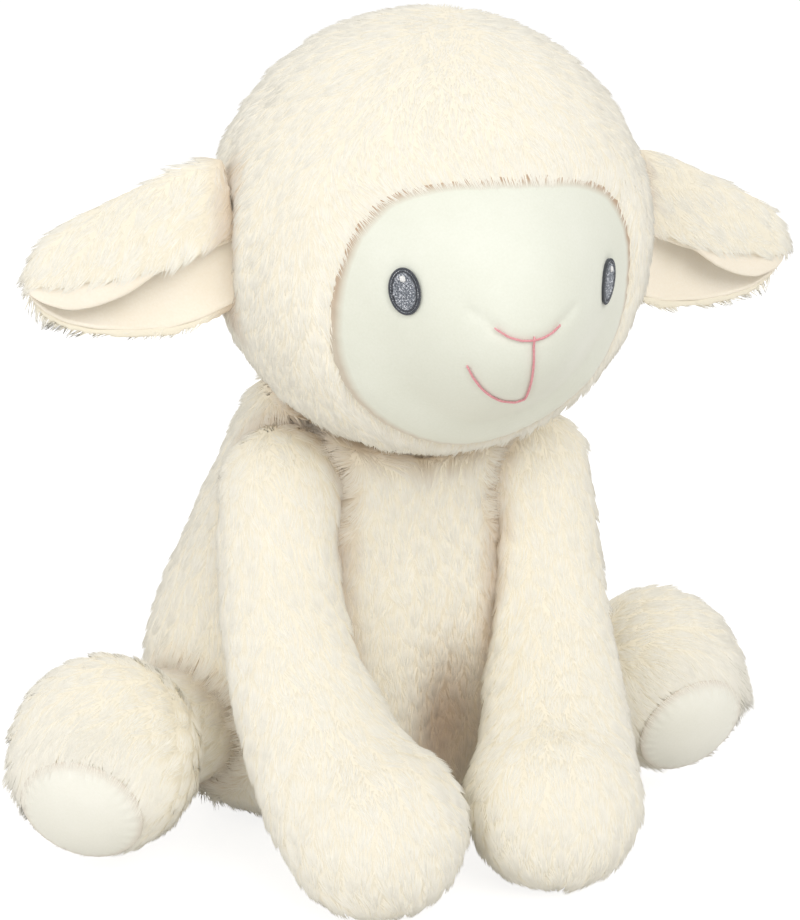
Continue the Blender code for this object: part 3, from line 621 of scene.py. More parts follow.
def round_sheet(rings):
    """Points of a unit disc with their share of the radius and turn, and the triangles."""
    points, faces = [(0.0, 0.0)], []
    for ring in range(1, rings + 1):
        count = 6 * ring
        points += [(ring / rings * math.cos(2.0 * math.pi * i / count),
                    ring / rings * math.sin(2.0 * math.pi * i / count)) for i in range(count)]
        outer_first = 1 + 3 * ring * (ring - 1)
        inner_first = 1 + 3 * (ring - 1) * (ring - 2) if ring > 1 else 0
        for sector in range(6):
            outer = [outer_first + (sector * ring + j) % count for j in range(ring + 1)]
            inner = [inner_first + (sector * (ring - 1) + j) % max(count - 6, 1)
                     for j in range(ring)]
            faces += [(inner[j], outer[j], outer[j + 1]) for j in range(ring)]
            faces += [(inner[j], outer[j + 1], inner[j + 1]) for j in range(ring - 1)]
    points = np.array(points)
    return points, np.hypot(*points.T), np.arctan2(points[:, 1], points[:, 0]), faces


def distance_to(points, lines_deg):
    thread = np.concatenate([on_face(line_points(line)) for line in lines_deg])
    return np.min(lengths(points[:, None] - thread[None]), axis=1)


def oval_distance(points, sign):
    """How far points lie from the middle of an eye, 1 at the eye's edge."""
    middle, short, tall = eye_axes(sign)
    away = points - middle
    return np.hypot(away @ short / EYE_HALF[0], away @ tall / EYE_HALF[1])


def face_sheet():
    share, turn, faces = round_sheet(FACE_RINGS)[1:]
    angle = share * (seam_angle(turn) + math.radians(FACE_TUCK_DEG))
    across = np.outer(np.cos(turn), FACE_UP) + np.outer(np.sin(turn), FACE_SIDE)
    ways = FACE_LINE * np.cos(angle)[:, None] + across * np.sin(angle)[:, None]
    flat = on_face(ways)
    to_thread = distance_to(flat, (NOSE_LINE_DEG, MOUTH_LINE_DEG))
    to_crease = distance_to(flat, CREASE_LINES_DEG)
    to_eye = np.minimum(oval_distance(flat, 1.0), oval_distance(flat, -1.0))
    dent = THREAD_DENT * np.exp(-(to_thread / THREAD_SPREAD) ** 2)
    dent += CREASE_DENT * np.exp(-(to_crease / CREASE_SPREAD) ** 2)
    dent += EYE_DENT * (1.0 - ramp(to_eye, *EYE_DENT_SHARES))
    inside = (1.0 - share) * FACE_REACH
    folds = (np.sin(41.0 * turn + 1.7 * np.sin(5.0 * turn)) + np.sin(67.0 * turn + 0.6)) / 2.0
    dent += FOLD_DEPTH * folds * np.exp(-((inside - FOLD_INSIDE) / FOLD_SPREAD) ** 2)
    chin = CHIN_SWELL * ramp(-np.cos(turn), -0.15, 0.55) * soft(ramp(share, 0.55, 0.84))
    chin = chin * (1.0 - soft(ramp(share, 0.90, 1.0)))
    sheet = new_piece("face_cloth", on_face(ways, chin - dent), [face[::-1] for face in faces])
    # Painted shade: a tan band along the seam, under the hood's overhanging fur, strongest at the
    # brow.
    brow = 0.55 + 0.45 * ramp(np.cos(turn), -0.2, 0.4)
    store(sheet.data, "nook", RIM_SHADE_PAINT * brow * ramp(share, 0.85, 0.895))
    return sheet, 1.0 * ((share > 0.96) | (to_thread < 1.0 * MM) | (to_crease < 0.8 * MM)
                         | (to_eye < 1.15))


def sole_axis(cad_node):
    """The middle of a sole's solid, the way it faces, and how far its points rise."""
    points = np.unique(points_of(frame["nodes"][cad_node].data).round(7), axis=0)
    middle = points.mean(0)
    facing = np.linalg.eigh(np.cov((points - middle).T))[1][:, 0]
    facing = facing * np.sign(facing @ FACE_LINE)
    return middle, facing, (points - middle) @ facing


def sole_sheet(side):
    middle, facing, rise = sole_axis(side + "_sole_pad")
    across = unit(np.cross(facing, (0.0, 0.0, 1.0)))
    up = np.cross(across, facing)
    disc, share, turn, faces = round_sheet(SOLE_RINGS)
    folds = np.sin(29.0 * turn + 1.4 * np.sin(3.0 * turn)) * SOLE_FOLDS
    height = SOLE_DOME * (1.0 - 0.92 * share ** 2.4) + folds * np.exp(
        -((share - 0.86) / 0.10) ** 2)
    points = (middle + facing * rise.min() + np.outer(disc[:, 0], across) * SOLE_RADIUS
              + np.outer(disc[:, 1], up) * SOLE_RADIUS + np.outer(height, facing))
    sheet = new_piece(side + "_sole_cloth", points, faces)
    # Painted shade: tan towards the rim, where the leg's fur lies over the sole.
    store(sheet.data, "nook", 0.35 * ramp(share, 0.86, 1.0))
    return sheet, (share > 0.95) * 1.0


# each sheet with how firmly its points are held when the toy is filled
sheets = {"face_cloth": face_sheet(), "left_sole_cloth": sole_sheet("left"),
          "right_sole_cloth": sole_sheet("right")}
print("sheets:", {name: len(sheet.data.polygons) for name, (sheet, held) in sheets.items()})

# %% [markdown]
# ## Folded ears
#
# Each ear is one sheet of fur with a smooth lining, folded forward over its top. A cross
# section is a C: it starts under the ear, goes up its back, over the top and down the front.
# Fur and lining are two such shapes, one inside the other, and near the tip the lining rolls
# out past the fur's edge. A voxel remesh evens the fur sheet out for the locks.

# %% Ears
EAR_LENGTH, EAR_HEIGHT, EAR_THICKNESS = 56.5 * MM, 47.0 * MM, 17.0 * MM
EAR_DROOP_DEG = 9.0
EAR_ROOT = np.array((68.8, -3.9, -2.9)) * MM
EAR_SECTION_SHARES = np.array((
    # share of the length: shares of the height and thickness, and the lift
    (-0.11, 1.02, 0.55, 0.10), (0.00, 1.04, 0.66, 0.08), (0.12, 1.05, 0.80, 0.05),
    (0.30, 1.03, 0.98, 0.01), (0.50, 0.95, 1.00, 0.0), (0.68, 0.82, 0.96, 0.0),
    (0.84, 0.64, 0.86, 0.0), (0.95, 0.42, 0.64, 0.0), (1.00, 0.22, 0.36, 0.0)))
EAR_FUR_INSETS, EAR_LINING_INSETS = (0.8 * MM, 3.0 * MM), (2.9 * MM, 4.4 * MM)
EAR_RINGS, EAR_STEPS, EAR_RIPPLE = 30, 44, 0.35 * MM
SIDES = (("left", 1.0), ("right", -1.0))


def ear_axes(sign):
    """An ear's root, and its directions along, up and to the front."""
    droop = math.radians(EAR_DROOP_DEG)
    return (HEAD_CENTRE + EAR_ROOT * (sign, 1.0, 1.0),
            np.array((sign * math.cos(droop), 0.0, -math.sin(droop))),
            np.array((sign * math.sin(droop), 0.0, math.cos(droop))),
            np.array((0.0, -1.0, 0.0)))


def fold(name, sign, insets, from_deg, to_deg, roll_deg=0.0):
    """A closed C-shaped sheet; roll_deg is how far its front edge rolls out near the tip."""
    root, along, up, front = ear_axes(sign)
    shares = np.linspace(EAR_SECTION_SHARES[0, 0], 1.0, EAR_RINGS)
    tall, thick, lift = (np.interp(shares, EAR_SECTION_SHARES[:, 0], column) * size
                         for column, size in zip(EAR_SECTION_SHARES.T[1:], (
                             EAR_HEIGHT / 2.0, EAR_THICKNESS / 2.0, EAR_HEIGHT)))
    last = to_deg + roll_deg * ramp(shares, 0.35, 0.80)
    points = []
    for share, high, deep, end, rise in zip(shares, tall, thick, last, lift):
        turns = np.radians(np.linspace(from_deg, end, EAR_STEPS))
        for inset, order in ((insets[0], turns), (insets[1], turns[::-1])):
            for turn in order:
                rim = EAR_RIPPLE * math.sin(9.0 * share + 2.0 * turn)
                points.append(root + along * share * EAR_LENGTH
                              + up * (rise + max(high - inset + rim, 0.2 * MM)
                                      * math.cos(turn))
                              + front * max(deep - inset + rim, 0.2 * MM) * math.sin(turn))
    trip = 2 * EAR_STEPS
    rings = [[i * trip + j for j in range(trip)] for i in range(EAR_RINGS)]
    faces = [(near[j], near[j - 1], far[j - 1], far[j])
             for near, far in zip(rings, rings[1:]) for j in range(trip)]
    for ring, flip in ((rings[0], 1), (rings[-1], -1)):
        faces += [(ring[j], ring[j + 1], ring[-j - 2], ring[-j - 1])[::flip]
                  for j in range(EAR_STEPS - 1)]
    return new_piece(name, points, faces if sign > 0.0 else [face[::-1] for face in faces])


ears = {}
for side, sign in SIDES:
    form = fold(side + "_ear_fur", sign, EAR_FUR_INSETS, -174.0, 94.0)
    skins[side + "_ear_fur"] = remeshed(form, EAR_VOXEL, 0.0, 3)
    ears[side] = fold(side + "_ear_cloth", sign, EAR_LINING_INSETS, -169.0, 96.0, 34.0)
print("ear lining faces:", len(ears["left"].data.polygons))

# %% [markdown]
# ## Filling the toy
#
# Cloth with air pressure presses each bag and sheet outwards, as stuffing does. The points at
# the seams and under the stitches are held, so the cloth swells between them, and a cap keeps
# each bag in the room of its solid. All are simulated together, as islands of one mesh,
# because one simulation costs less than many.

# %% Stuffing
PUFF_CAP, PUFF_FRAMES, PUFF_PRESSURE = 1.2 * MM, 16, 4.0


def puffed(pieces, cap, held):
    """Fills bags and sheets; held says how firmly points are held, 0 free and 1 sewn down."""
    rounds = [len(piece.data.vertices) for piece in pieces]
    bags = linked("bags", edited(bpy.data.meshes.new("bags"), lambda edit: None,
                                 *(piece.data for piece in pieces)))
    rest = points_of(bags.data)
    cloth = bags.modifiers.new("cloth", "CLOTH")
    sewn_down = bags.vertex_groups.new(name="sewn")
    starts = np.r_[0, np.cumsum(rounds)]
    for piece, first in zip(pieces, starts):
        for i, weight in enumerate(held.get(piece.name, ())):
            if weight > 0.0:
                sewn_down.add([int(first) + i], float(weight), "REPLACE")
    settings = cloth.settings
    settings.vertex_group_mass = sewn_down.name
    settings.quality = 4
    settings.use_pressure = True
    settings.uniform_pressure_force = PUFF_PRESSURE
    settings.effector_weights.gravity = 0.0
    cloth.collision_settings.use_collision = False
    cloth.point_cache.frame_end = PUFF_FRAMES
    for moment in range(1, PUFF_FRAMES + 1):
        bpy.context.scene.frame_set(moment)
    step = points_of(settle(bags).data) - rest
    bpy.context.scene.frame_set(1)
    length = lengths(step)[:, None]
    moved = rest + step * np.minimum(1.0, cap / np.maximum(length, 1e-9))
    for piece, first, last in zip(pieces, starts, starts[1:]):
        set_points(piece.data, moved[first:last])
    bpy.data.objects.remove(bags)
    return float(length.max())


swell = puffed([skins[name] for name in SKINS if name != "head_fur"]
               + [sheet for sheet, held in sheets.values()], PUFF_CAP,
               {sheet.name: held for sheet, held in sheets.values()})
print("largest swell before the cap:", round(swell / MM, 1), "mm")

# %% [markdown]
# ## Which way the fur lies, and where it grows
#
# Fur is combed. Each point of a skin gets a comb direction, along the limb or down the body,
# and a pile value from 0 to 1 that says how long and dense it is: 0 under the face and the
# soles and in the seats of the limbs, and short where the toy presses on the floor. Along the
# seams a fringe of longer locks stands up and lies over the seam.

# %% Comb and pile
PRESSED_PILE, PRESSED_BELOW = 0.35, 6.5 * MM
# joint, radius, where the fringe is full and where it ends, how strong it is
SEATS = [(side + limb, radius, 2.0 * MM, 6.0 * MM, 1.0)
         for limb, radius in (("_arm_swing", 21.5 * MM), ("_leg_lift", 23.0 * MM))
         for side in ("left", "right")]
SEATS += [("tail_lift", 12.5 * MM, 2.0 * MM, 6.0 * MM, 1.0),
          ("head_nod", 70.5 * MM, 2.5 * MM, 8.5 * MM, 0.4)]
LIMB_ROOT, TAIL_ROOT = 17.0 * MM, 6.0 * MM
SOLE_BARE, SOLE_FRINGE, SOLE_FRINGE_UPPER = 18.2 * MM, 25.0, 4.0
SOLE_ABOVE, SOLE_AROUND = -13.0 * MM, 31.0 * MM
BODY_NAP, HEAD_NAP, LIMB_NAP = (0.0, -0.15, -1.0), (0.0, 0.15, -1.0), (0.0, 0.0, -0.25)
BROW_NEAR_DEG, BROW_COMB, NECK_BARE = (3.0, 14.0), 1.6, (-0.955, -0.90)
EAR_ALONG, EAR_TO_EDGE = 0.9, 0.8
# painted shade: full at the near gap to another skin, gone at the far one, how strong, and how
# much the lap gets
SHADE_PAINT_NEAR, SHADE_PAINT_FAR, SHADE_PAINT_STRENGTH, LAP_SHADE_PAINT = 3.0 * MM, 9.0 * MM, 0.40, 1.7


def combed(skin, direction):
    """Stores the comb: the direction laid flat on the skin at each point."""
    normals = normals_of(skin.data)
    flat = direction - normals * np.sum(direction * normals, axis=1, keepdims=True)
    store(skin.data, "comb", unit(flat))


def grown(skin, pile, fringe=0.0):
    """Stores the pile and the fringe, short or none where the fur is pressed on the floor."""
    points, normals = points_of(skin.data), normals_of(skin.data)
    on_floor = (normals[:, 2] < -0.75) & (points[:, 2] < PRESSED_BELOW)
    store(skin.data, "pile", np.where(on_floor, np.minimum(pile, PRESSED_PILE), pile))
    store(skin.data, "fringe", fringe * np.where(on_floor, 0.0, 1.0))


def comb_body(skin):
    points = points_of(skin.data)
    direction = np.tile(BODY_NAP, (len(points), 1))
    pile, fringe = np.ones(len(points)), np.zeros(len(points))
    for joint, radius, full, end, strength in SEATS:
        out = points - np.array(JOINTS[joint]["pos_m"])
        away = lengths(out) - radius
        pile *= ramp(away, -0.5 * MM, 1.0 * MM)
        rim = strength * (1.0 - ramp(away, full, end))
        direction = direction * (1.0 - rim)[:, None] - unit(out) * 1.3 * rim[:, None]
        fringe = np.maximum(fringe, rim)
    combed(skin, direction)
    grown(skin, pile, fringe)


def comb_head(skin):
    """Down the head, and over the brow towards the face."""
    way = unit(points_of(skin.data) - HEAD_CENTRE)
    angle = np.arccos(np.clip(way @ FACE_LINE, -1.0, 1.0))
    past = np.degrees(angle - seam_angle(np.arctan2(way @ FACE_SIDE, way @ FACE_UP)))
    brow = 0.35 + 0.65 * ramp(way @ FACE_UP, 0.1, 0.5)
    near = ((1.0 - ramp(past, *BROW_NEAR_DEG)) * brow)[:, None]
    combed(skin, np.array(HEAD_NAP) * (1.0 - near) + FACE_LINE * near * BROW_COMB)
    at_neck = way @ np.array(JOINTS["head_turn"]["axis"])
    grown(skin, ramp(past, -0.6, 0.6) * ramp(at_neck, *NECK_BARE),
          (1.0 - ramp(past, 2.0, 6.0)) * brow * 0.55)


def comb_limb(skin, joint, root, sole=None):
    """Fur that lies from the joint to the tip; it stops at the sole's edge."""
    points = points_of(skin.data)
    origin = np.array(JOINTS[joint]["pos_m"])
    away = lengths(points - origin)
    along = unit(points[np.argmax(away)] - origin) + LIMB_NAP
    direction = np.tile(along, (len(points), 1))
    pile, fringe = np.ones(len(points)), 0.0
    if sole:
        pad = points_of(frame["nodes"][sole].data)
        out = points - (pad.min(0) + pad.max(0)) / 2.0
        facing = np.linalg.eigh(np.cov((pad - pad.mean(0)).T))[1][:, 0]
        facing = facing * -np.sign(np.mean(out @ facing))
        rise = out @ facing
        across = lengths(out - np.outer(rise, facing))
        under = (rise > SOLE_ABOVE) & (across < SOLE_AROUND)
        pile = np.where(under, ramp(across, SOLE_BARE, SOLE_BARE + 1.0 * MM), 1.0)
        upper = ramp(out[:, 2], -2.0 * MM, 9.0 * MM)
        reach = (SOLE_FRINGE + SOLE_FRINGE_UPPER * upper) * MM
        fringe = (0.65 + 0.35 * upper) * under * (1.0 - ramp(across - reach, -4.5 * MM, 0.0))
        inward = unit(np.outer(rise, facing) - out)
        direction = direction * (1.0 - 0.8 * fringe)[:, None] + inward * 1.2 * fringe[:, None]
    combed(skin, direction)
    grown(skin, pile * (0.85 + 0.15 * ramp(away, root, root + 4.0 * MM)), fringe)


def comb_ear(skin, sign):
    """Fur on the outside of the fold only, lying to the tip and towards the nearer edge."""
    root, along, up, front = ear_axes(sign)
    out, normals = points_of(skin.data) - root, normals_of(skin.data)
    round_way = np.outer(out @ up, up) + np.outer(out @ front, front)
    outside = np.sum(normals * unit(round_way), axis=1)
    in_front = (out @ front) > 0.0
    edge_way = np.where(in_front[:, None], -up + 0.25 * front, -up)
    combed(skin, along * EAR_ALONG + edge_way * EAR_TO_EDGE)
    pile = ramp(outside, -0.45, 0.25) + ramp((out @ along) / EAR_LENGTH, 0.93, 0.99)
    pile *= 1.0 - ramp(-normals[:, 2], 0.6, 0.8) * in_front
    to_edge = np.degrees(np.arctan2(out @ front / EAR_THICKNESS, out @ up / EAR_HEIGHT))
    grown(skin, np.clip(pile, 0.0, 1.0) * (1.0 - 0.6 * ramp(-to_edge, 140.0, 165.0)))


def paint_shade(name, *others):
    """Stores painted shade: tan where a point lies near another skin, and on the body in the lap.
    """
    points = points_of(skins[name].data)
    # painted shade in the lap between the arms
    nook = LAP_SHADE_PAINT * lap_share(points) if name == "body_fur" else np.zeros(len(points))
    for other in others:
        tree = kdtree.KDTree(len(skins[other].data.vertices))
        for i, point in enumerate(points_of(skins[other].data)):
            tree.insert(point, i)
        tree.balance()
        gap = np.array([tree.find(point)[2] for point in points])
        nook = np.maximum(nook, 1.0 - ramp(gap, SHADE_PAINT_NEAR, SHADE_PAINT_FAR))
    store(skins[name].data, "nook", SHADE_PAINT_STRENGTH * nook)


comb_body(skins["body_fur"])
comb_head(skins["head_fur"])
comb_limb(skins["tail_fur"], "tail_lift", TAIL_ROOT)
for side, sign in SIDES:
    comb_ear(skins[side + "_ear_fur"], sign)
    comb_limb(skins[side + "_arm_fur"], side + "_arm_swing", LIMB_ROOT)
    comb_limb(skins[side + "_leg_fur"], side + "_leg_lift", LIMB_ROOT, side + "_sole_pad")
limbs = [f"{side}_{limb}_fur" for side, sign in SIDES for limb in ("arm", "leg")]
paint_shade("body_fur", "head_fur", *limbs)
paint_shade("head_fur", "body_fur", "left_ear_fur", "right_ear_fur")
for name in limbs + ["left_ear_fur", "right_ear_fur"]:
    paint_shade(name, "head_fur" if "ear" in name else "body_fur")
print("combed:", ", ".join(skins))

# %% [markdown]
# ## One lock of fur
#
# Single hairs are too fine to model, and the eye sees small locks of hairs anyway. One lock is
# a bent three-sided thorn of six faces, one unit long. Its bend is given in its own widths, so
# scaling it keeps it slender.

# %% Lock
def template(name, points, faces, **values):
    """A small shape that Geometry Nodes will repeat; it isn't rendered itself."""
    shape = new_piece(name, points, faces)
    shape.data.shade_smooth()
    for key, numbers in values.items():
        store(shape.data, key, numbers)
    shape.hide_render = True
    return shape


foot = [(math.cos(2.0 * math.pi * i / 3.0), math.sin(2.0 * math.pi * i / 3.0), 0.0)
        for i in range(3)]
lock_points = foot + [(1.1, 0.0, 0.5), (0.0, 0.0, 1.0)]
LOCK = template("lock", lock_points, [(0, 1, 3), (1, 4, 3), (2, 0, 3), (2, 3, 4), (1, 2, 4),
                                      (0, 2, 1)], along=[point[2] for point in lock_points])
print("one lock:", len(LOCK.data.polygons), "faces")

# %% [markdown]
# ## The pelt
#
# The skin is rounded off once more and gets the low hills of matted tufts. It also stores its
# own normals, tipped a little towards the sky: the locks will borrow them, so that they are lit
# as one soft surface.

# %% Pelt tree
def new_tree(name, *inputs):
    return new_group(name, "Geometry", (("Mesh", "Geometry"), *inputs), (("Mesh", "Geometry"),))


def named(tree, name, kind="FLOAT"):
    return add(tree, "GeometryNodeInputNamedAttribute", (("Name", name),), "Attribute",
               data_type=kind)


def here(tree, what):
    return add(tree, "GeometryNodeInput" + what)


def on(geometry, kind, *inputs, **settings):
    """A node that works on a geometry."""
    first = "Mesh" if kind in ("SubdivisionSurface", "SetMeshNormal") else "Geometry"
    return add(geometry.tree, "GeometryNode" + kind, ((first, geometry), *inputs), **settings)


def stored(geometry, name, value, domain):
    return on(geometry, "StoreNamedAttribute", ("Name", name), ("Value", value), domain=domain,
              data_type="FLOAT_VECTOR" if value.is_vector else "FLOAT")


def dyed(geometry, material):
    """Gives the geometry its material and ends the tree."""
    done = on(geometry, "SetMaterial", ("Material", material))
    add(done.tree, "NodeGroupOutput", ((0, done),))
    return done.tree


def pelt_tree():
    tree, into = new_tree("tufted_pelt", ("Fur", "Material"), ("Tuft Size", "Float", 0.009),
                          ("Tuft Relief", "Float", 0.0011), ("Skyward", "Float", 0.35))
    fine = on(into["Mesh"], "SubdivisionSurface", ("Level", 1))
    normal = here(tree, "Normal")
    level = noise(here(tree, "Position"), maths("DIVIDE", 1.0, into["Tuft Size"]), 1.0)
    hills = normal * ((level - 0.5) * into["Tuft Relief"])
    skyward = add(tree, "ShaderNodeCombineXYZ", ((2, into["Skyward"]),))
    marked = stored(on(fine, "SetPosition", ("Offset", hills)), "outward",
                    maths("NORMALIZE", normal + skyward), "POINT")
    return dyed(on(marked, "SetShadeSmooth"), into["Fur"])


PELT_TREE = pelt_tree()
print("pelt tree:", len(PELT_TREE.nodes), "nodes")

# %% [markdown]
# ## A coat of fur with Geometry Nodes
#
# The tree scatters root points and, much more sparsely, tuft points. Each lock leans along the
# comb, and its tip is drawn part of the way to the tip of the nearest tuft, which gives the
# matted tufts of real plush. The same seeds give the same coat each time.

# %% Fur tree
FLOOR_GAP, MOST_TUFTS, SWIRL_SCALE, LAID_FLAT = 0.0003, 3.0e5, 90.0, 0.8
# what a fringe adds
FRINGE_RISE, FRINGE_LENGTH, FRINGE_DENSITY, FRINGE_PULL = 0.60, 0.85, 1.3, -0.75
# how much locks differ from each other
PULLS, LENGTHS, WIDTHS, LOCK_TURN, LOCK_FLATNESS = (0.5, 1.3), (0.72, 1.12), (0.7, 1.3), 0.3, 0.55


def scatter(tree, low, high, seed):
    """A random number for each lock."""
    return add(tree, "FunctionNodeRandomValue", (("Seed", seed), (2, low), (3, high)), 1,
               data_type="FLOAT")


def any_way(tree, seed):
    """A random vector for each lock."""
    return add(tree, "FunctionNodeRandomValue", (
        ("Seed", seed), (0, (-1.0, -1.0, -1.0)), (1, (1.0, 1.0, 1.0))), 0,
        data_type="FLOAT_VECTOR")


def fur_tree():
    tree, into = new_tree(
        "fur_locks", ("Lock", "Object"), ("Fur", "Material"),
        ("Locks per Square Metre", "Float", 1.4e6), ("Lock Length", "Float", 0.0052),
        ("Lock Width", "Float", 0.0003), ("Lock Relief", "Float", 0.42),
        ("Rise", "Float", 0.26), ("Lean", "Float", 0.95), ("Stray", "Float", 0.10),
        ("Swirl", "Float", 0.35), ("Tuft Spacing", "Float", 0.0060),
        ("Tuft Pull", "Float", 0.52), ("Seed", "Int", 1), ("Tuft Seed", "Int", 1))
    position, comb = here(tree, "Position"), named(tree, "comb", "FLOAT_VECTOR")
    pile, fringe = named(tree, "pile"), named(tree, "fringe")
    roots = add(tree, "GeometryNodeDistributePointsOnFaces", (
        ("Mesh", into["Mesh"]), ("Seed", into["Seed"]),
        ("Density", into["Locks per Square Metre"] * (pile * (fringe * FRINGE_DENSITY + 1.0)))))
    tufts = add(tree, "GeometryNodeDistributePointsOnFaces", (
        ("Mesh", into["Mesh"]), ("Distance Min", into["Tuft Spacing"]),
        ("Density Max", MOST_TUFTS), ("Seed", into["Tuft Seed"])), distribute_method="POISSON")
    swirl = (noise(position, SWIRL_SCALE, 1.0, "Color") - (0.5, 0.5, 0.5)) * (into["Swirl"] * 4.0)
    astray = swirl + any_way(tree, 3) * into["Stray"]

    def tip_of(normal):
        """Where a lock ends before its tuft pulls it."""
        level = astray - normal * (maths("DOT_PRODUCT", astray, normal) * LAID_FLAT)
        way = normal * (fringe * FRINGE_RISE + into["Rise"]) + comb * into["Lean"] + level
        length = into["Lock Length"] * maths("POWER", pile, 0.5)
        return position + maths("NORMALIZE", way) * (length * (fringe * FRINGE_LENGTH + 1.0))

    own_tip = tip_of(roots.of("Normal"))
    nearest = add(tree, "GeometryNodeSampleNearest", (("Geometry", tufts),
                                                      ("Sample Position", position)), "Index")
    shared = on(tufts, "SampleIndex", ("Index", nearest), ("Value", tip_of(tufts.of("Normal"))),
                data_type="FLOAT_VECTOR")
    pull = into["Tuft Pull"] * scatter(tree, *PULLS, 11) * (fringe * FRINGE_PULL + 1.0)
    tip = own_tip + (shared - own_tip) * pull
    chord = (tip - position) * scatter(tree, *LENGTHS, 5)
    facing = roots.of("Normal") + any_way(tree, 9) * LOCK_TURN
    wide = into["Lock Width"] * scatter(tree, *WIDTHS, 21)
    locks = repeated(roots, into["Lock"], chord, facing, wide * LOCK_FLATNESS, wide)
    locks = stored(locks, "shade", scatter(tree, 0.0, 1.0, 31), "INSTANCE")
    locks = stored(locks, "outward", named(tree, "outward", "FLOAT_VECTOR"), "INSTANCE")
    # the locks take the skin's painted shade
    locks = on(stored(locks, "nook", named(tree, "nook"), "INSTANCE"), "RealizeInstances")
    axes = add(tree, "ShaderNodeSeparateXYZ", ((0, position),))
    above = add(tree, "ShaderNodeCombineXYZ", enumerate(
        (axes, axes.of(1), maths("MAXIMUM", axes.of(2), FLOOR_GAP))))
    locks = on(on(locks, "SetPosition", ("Position", above)), "SetShadeSmooth")
    blend = (here(tree, "Normal") * into["Lock Relief"]
             + named(tree, "outward", "FLOAT_VECTOR") * (1.0 - into["Lock Relief"]))
    locks = on(locks, "SetMeshNormal", mode="FREE", domain="POINT")
    tree.links.new(maths("NORMALIZE", blend).socket, locks.socket.node.inputs["Custom Normal"])
    return dyed(locks, into["Fur"])


def repeated(points, shape, along, facing, thick, wide):
    """Puts a shape on each point, turned and stretched along a direction."""
    tree = points.tree
    turn = add(tree, "FunctionNodeAxesToRotation", (
        ("Primary Axis", along), ("Secondary Axis", facing)), primary_axis="Z",
        secondary_axis="X")
    size = add(tree, "ShaderNodeCombineXYZ", enumerate((thick, wide, maths("LENGTH", along))))
    info = add(tree, "GeometryNodeObjectInfo", (("Object", shape),), "Geometry")
    return add(tree, "GeometryNodeInstanceOnPoints", (
        ("Points", points), ("Instance", info), ("Rotation", turn), ("Scale", size)))


FUR_TREE = fur_tree()
print("fur tree:", len(FUR_TREE.nodes), "nodes")

# %% [markdown]
# ## Growing the coats
#
# A modifier's inputs are set by the socket's identifier, not by its name. The evaluated coat
# is then kept as a plain mesh, and the modifier goes. Each pelt is a stuffed piece, and it
# stands for the cover and the filling that the solid model has, which are hidden.

# %% Coats
LOCKS_PER_AREA, LOCK_WIDTH, RELIEF, FILL = 1.15e6, 0.28 * MM, 1.9 * MM, 0.75
COATS = (
    # skin, length of the locks, layers of locks, relief, other inputs of the fur tree
    ("body_fur", 5.4 * MM, 3, RELIEF, {}),
    ("head_fur", 5.0 * MM, 2, 1.3 * MM, {"Tuft Spacing": 4.6 * MM, "Tuft Pull": 0.42}),
    ("left_arm_fur", 5.4 * MM, 1, RELIEF, {}),
    ("right_arm_fur", 5.4 * MM, 1, RELIEF, {}),
    ("left_leg_fur", 5.2 * MM, 1, RELIEF, {}),
    ("right_leg_fur", 5.2 * MM, 1, RELIEF, {}),
    ("tail_fur", 5.0 * MM, 1, RELIEF, {}),
    ("left_ear_fur", 6.2 * MM, 1, 1.4 * MM, {}),
    ("right_ear_fur", 6.2 * MM, 1, 1.4 * MM, {}),
)


def with_tree(piece, tree, values):
    """Runs a geometry tree on a piece and keeps the result as a plain mesh."""
    modifier = piece.modifiers.new(tree.name, "NODES")
    modifier.node_group = tree
    sockets = {item.name: item.identifier for item in tree.interface.items_tree
               if item.in_out == "INPUT"}
    for name, value in values.items():
        modifier[sockets[name]] = value
    return settle(piece)


def grow_coat(name, length, layers, relief, more, seed):
    """The pelt of a skin and the locks on it; both ride on the skin's body."""
    part = name[:-len("_fur")]
    body, solids = SKINS.get(name, (part, (part + "_cover",)))
    pelt = with_tree(skins[name], PELT_TREE, {"Fur": FUR, "Tuft Relief": relief})
    pieces, count = [pelt], 0
    for layer in range(layers):
        locks = linked(f"{part}_locks_{layer + 1}", pelt.data.copy())
        with_tree(locks, FUR_TREE, {
            "Lock": LOCK, "Fur": FUR, "Lock Length": length, "Lock Width": LOCK_WIDTH,
            "Locks per Square Metre": LOCKS_PER_AREA / layers, "Seed": seed + 10 * layer,
            "Tuft Seed": seed, **more})
        locks.visible_shadow = locks.visible_diffuse = False
        pieces.append(locks)
        count += len(locks.data.polygons) // 6
    for piece in pieces:
        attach(piece, body)
    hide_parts(*solids)
    print(name, len(pelt.data.polygons), "faces and", count, "locks in", layers, "layers")


for seed, coat in enumerate(COATS, 1):
    grow_coat(*coat, seed)

# %% [markdown]
# ## Finishing the smooth cloth
#
# A sheet has no thickness yet. Its back is the same sheet moved inwards, and a strip of faces
# round the rim closes the two into one solid. One round of subdivision makes it smooth.

# %% Smooth cloth
VELBOA_DEPTH = 1.2 * MM


def closed(piece):
    """Gives a round sheet its thickness: a back layer and a rim between the two."""
    mesh = piece.data
    front, normals = points_of(mesh), normals_of(mesh)
    count = len(front)
    faces = [tuple(polygon.vertices) for polygon in mesh.polygons]
    edges = {edge: True for face in faces for edge in zip(face, face[1:] + face[:1])}
    both = faces + [tuple(count + i for i in face[::-1]) for face in faces]
    both += [(b, a, count + a, count + b) for a, b in edges if (b, a) not in edges]
    piece.data = bpy.data.meshes.new(piece.name)
    piece.data.from_pydata([tuple(p) for p in np.vstack((front, front - normals
                                                         * VELBOA_DEPTH))], [], both)
    # the painted shade goes to both layers
    nook = np.empty(count, np.float32)
    mesh.attributes["nook"].data.foreach_get("value", nook)
    store(piece.data, "nook", np.tile(nook, 2))
    return piece


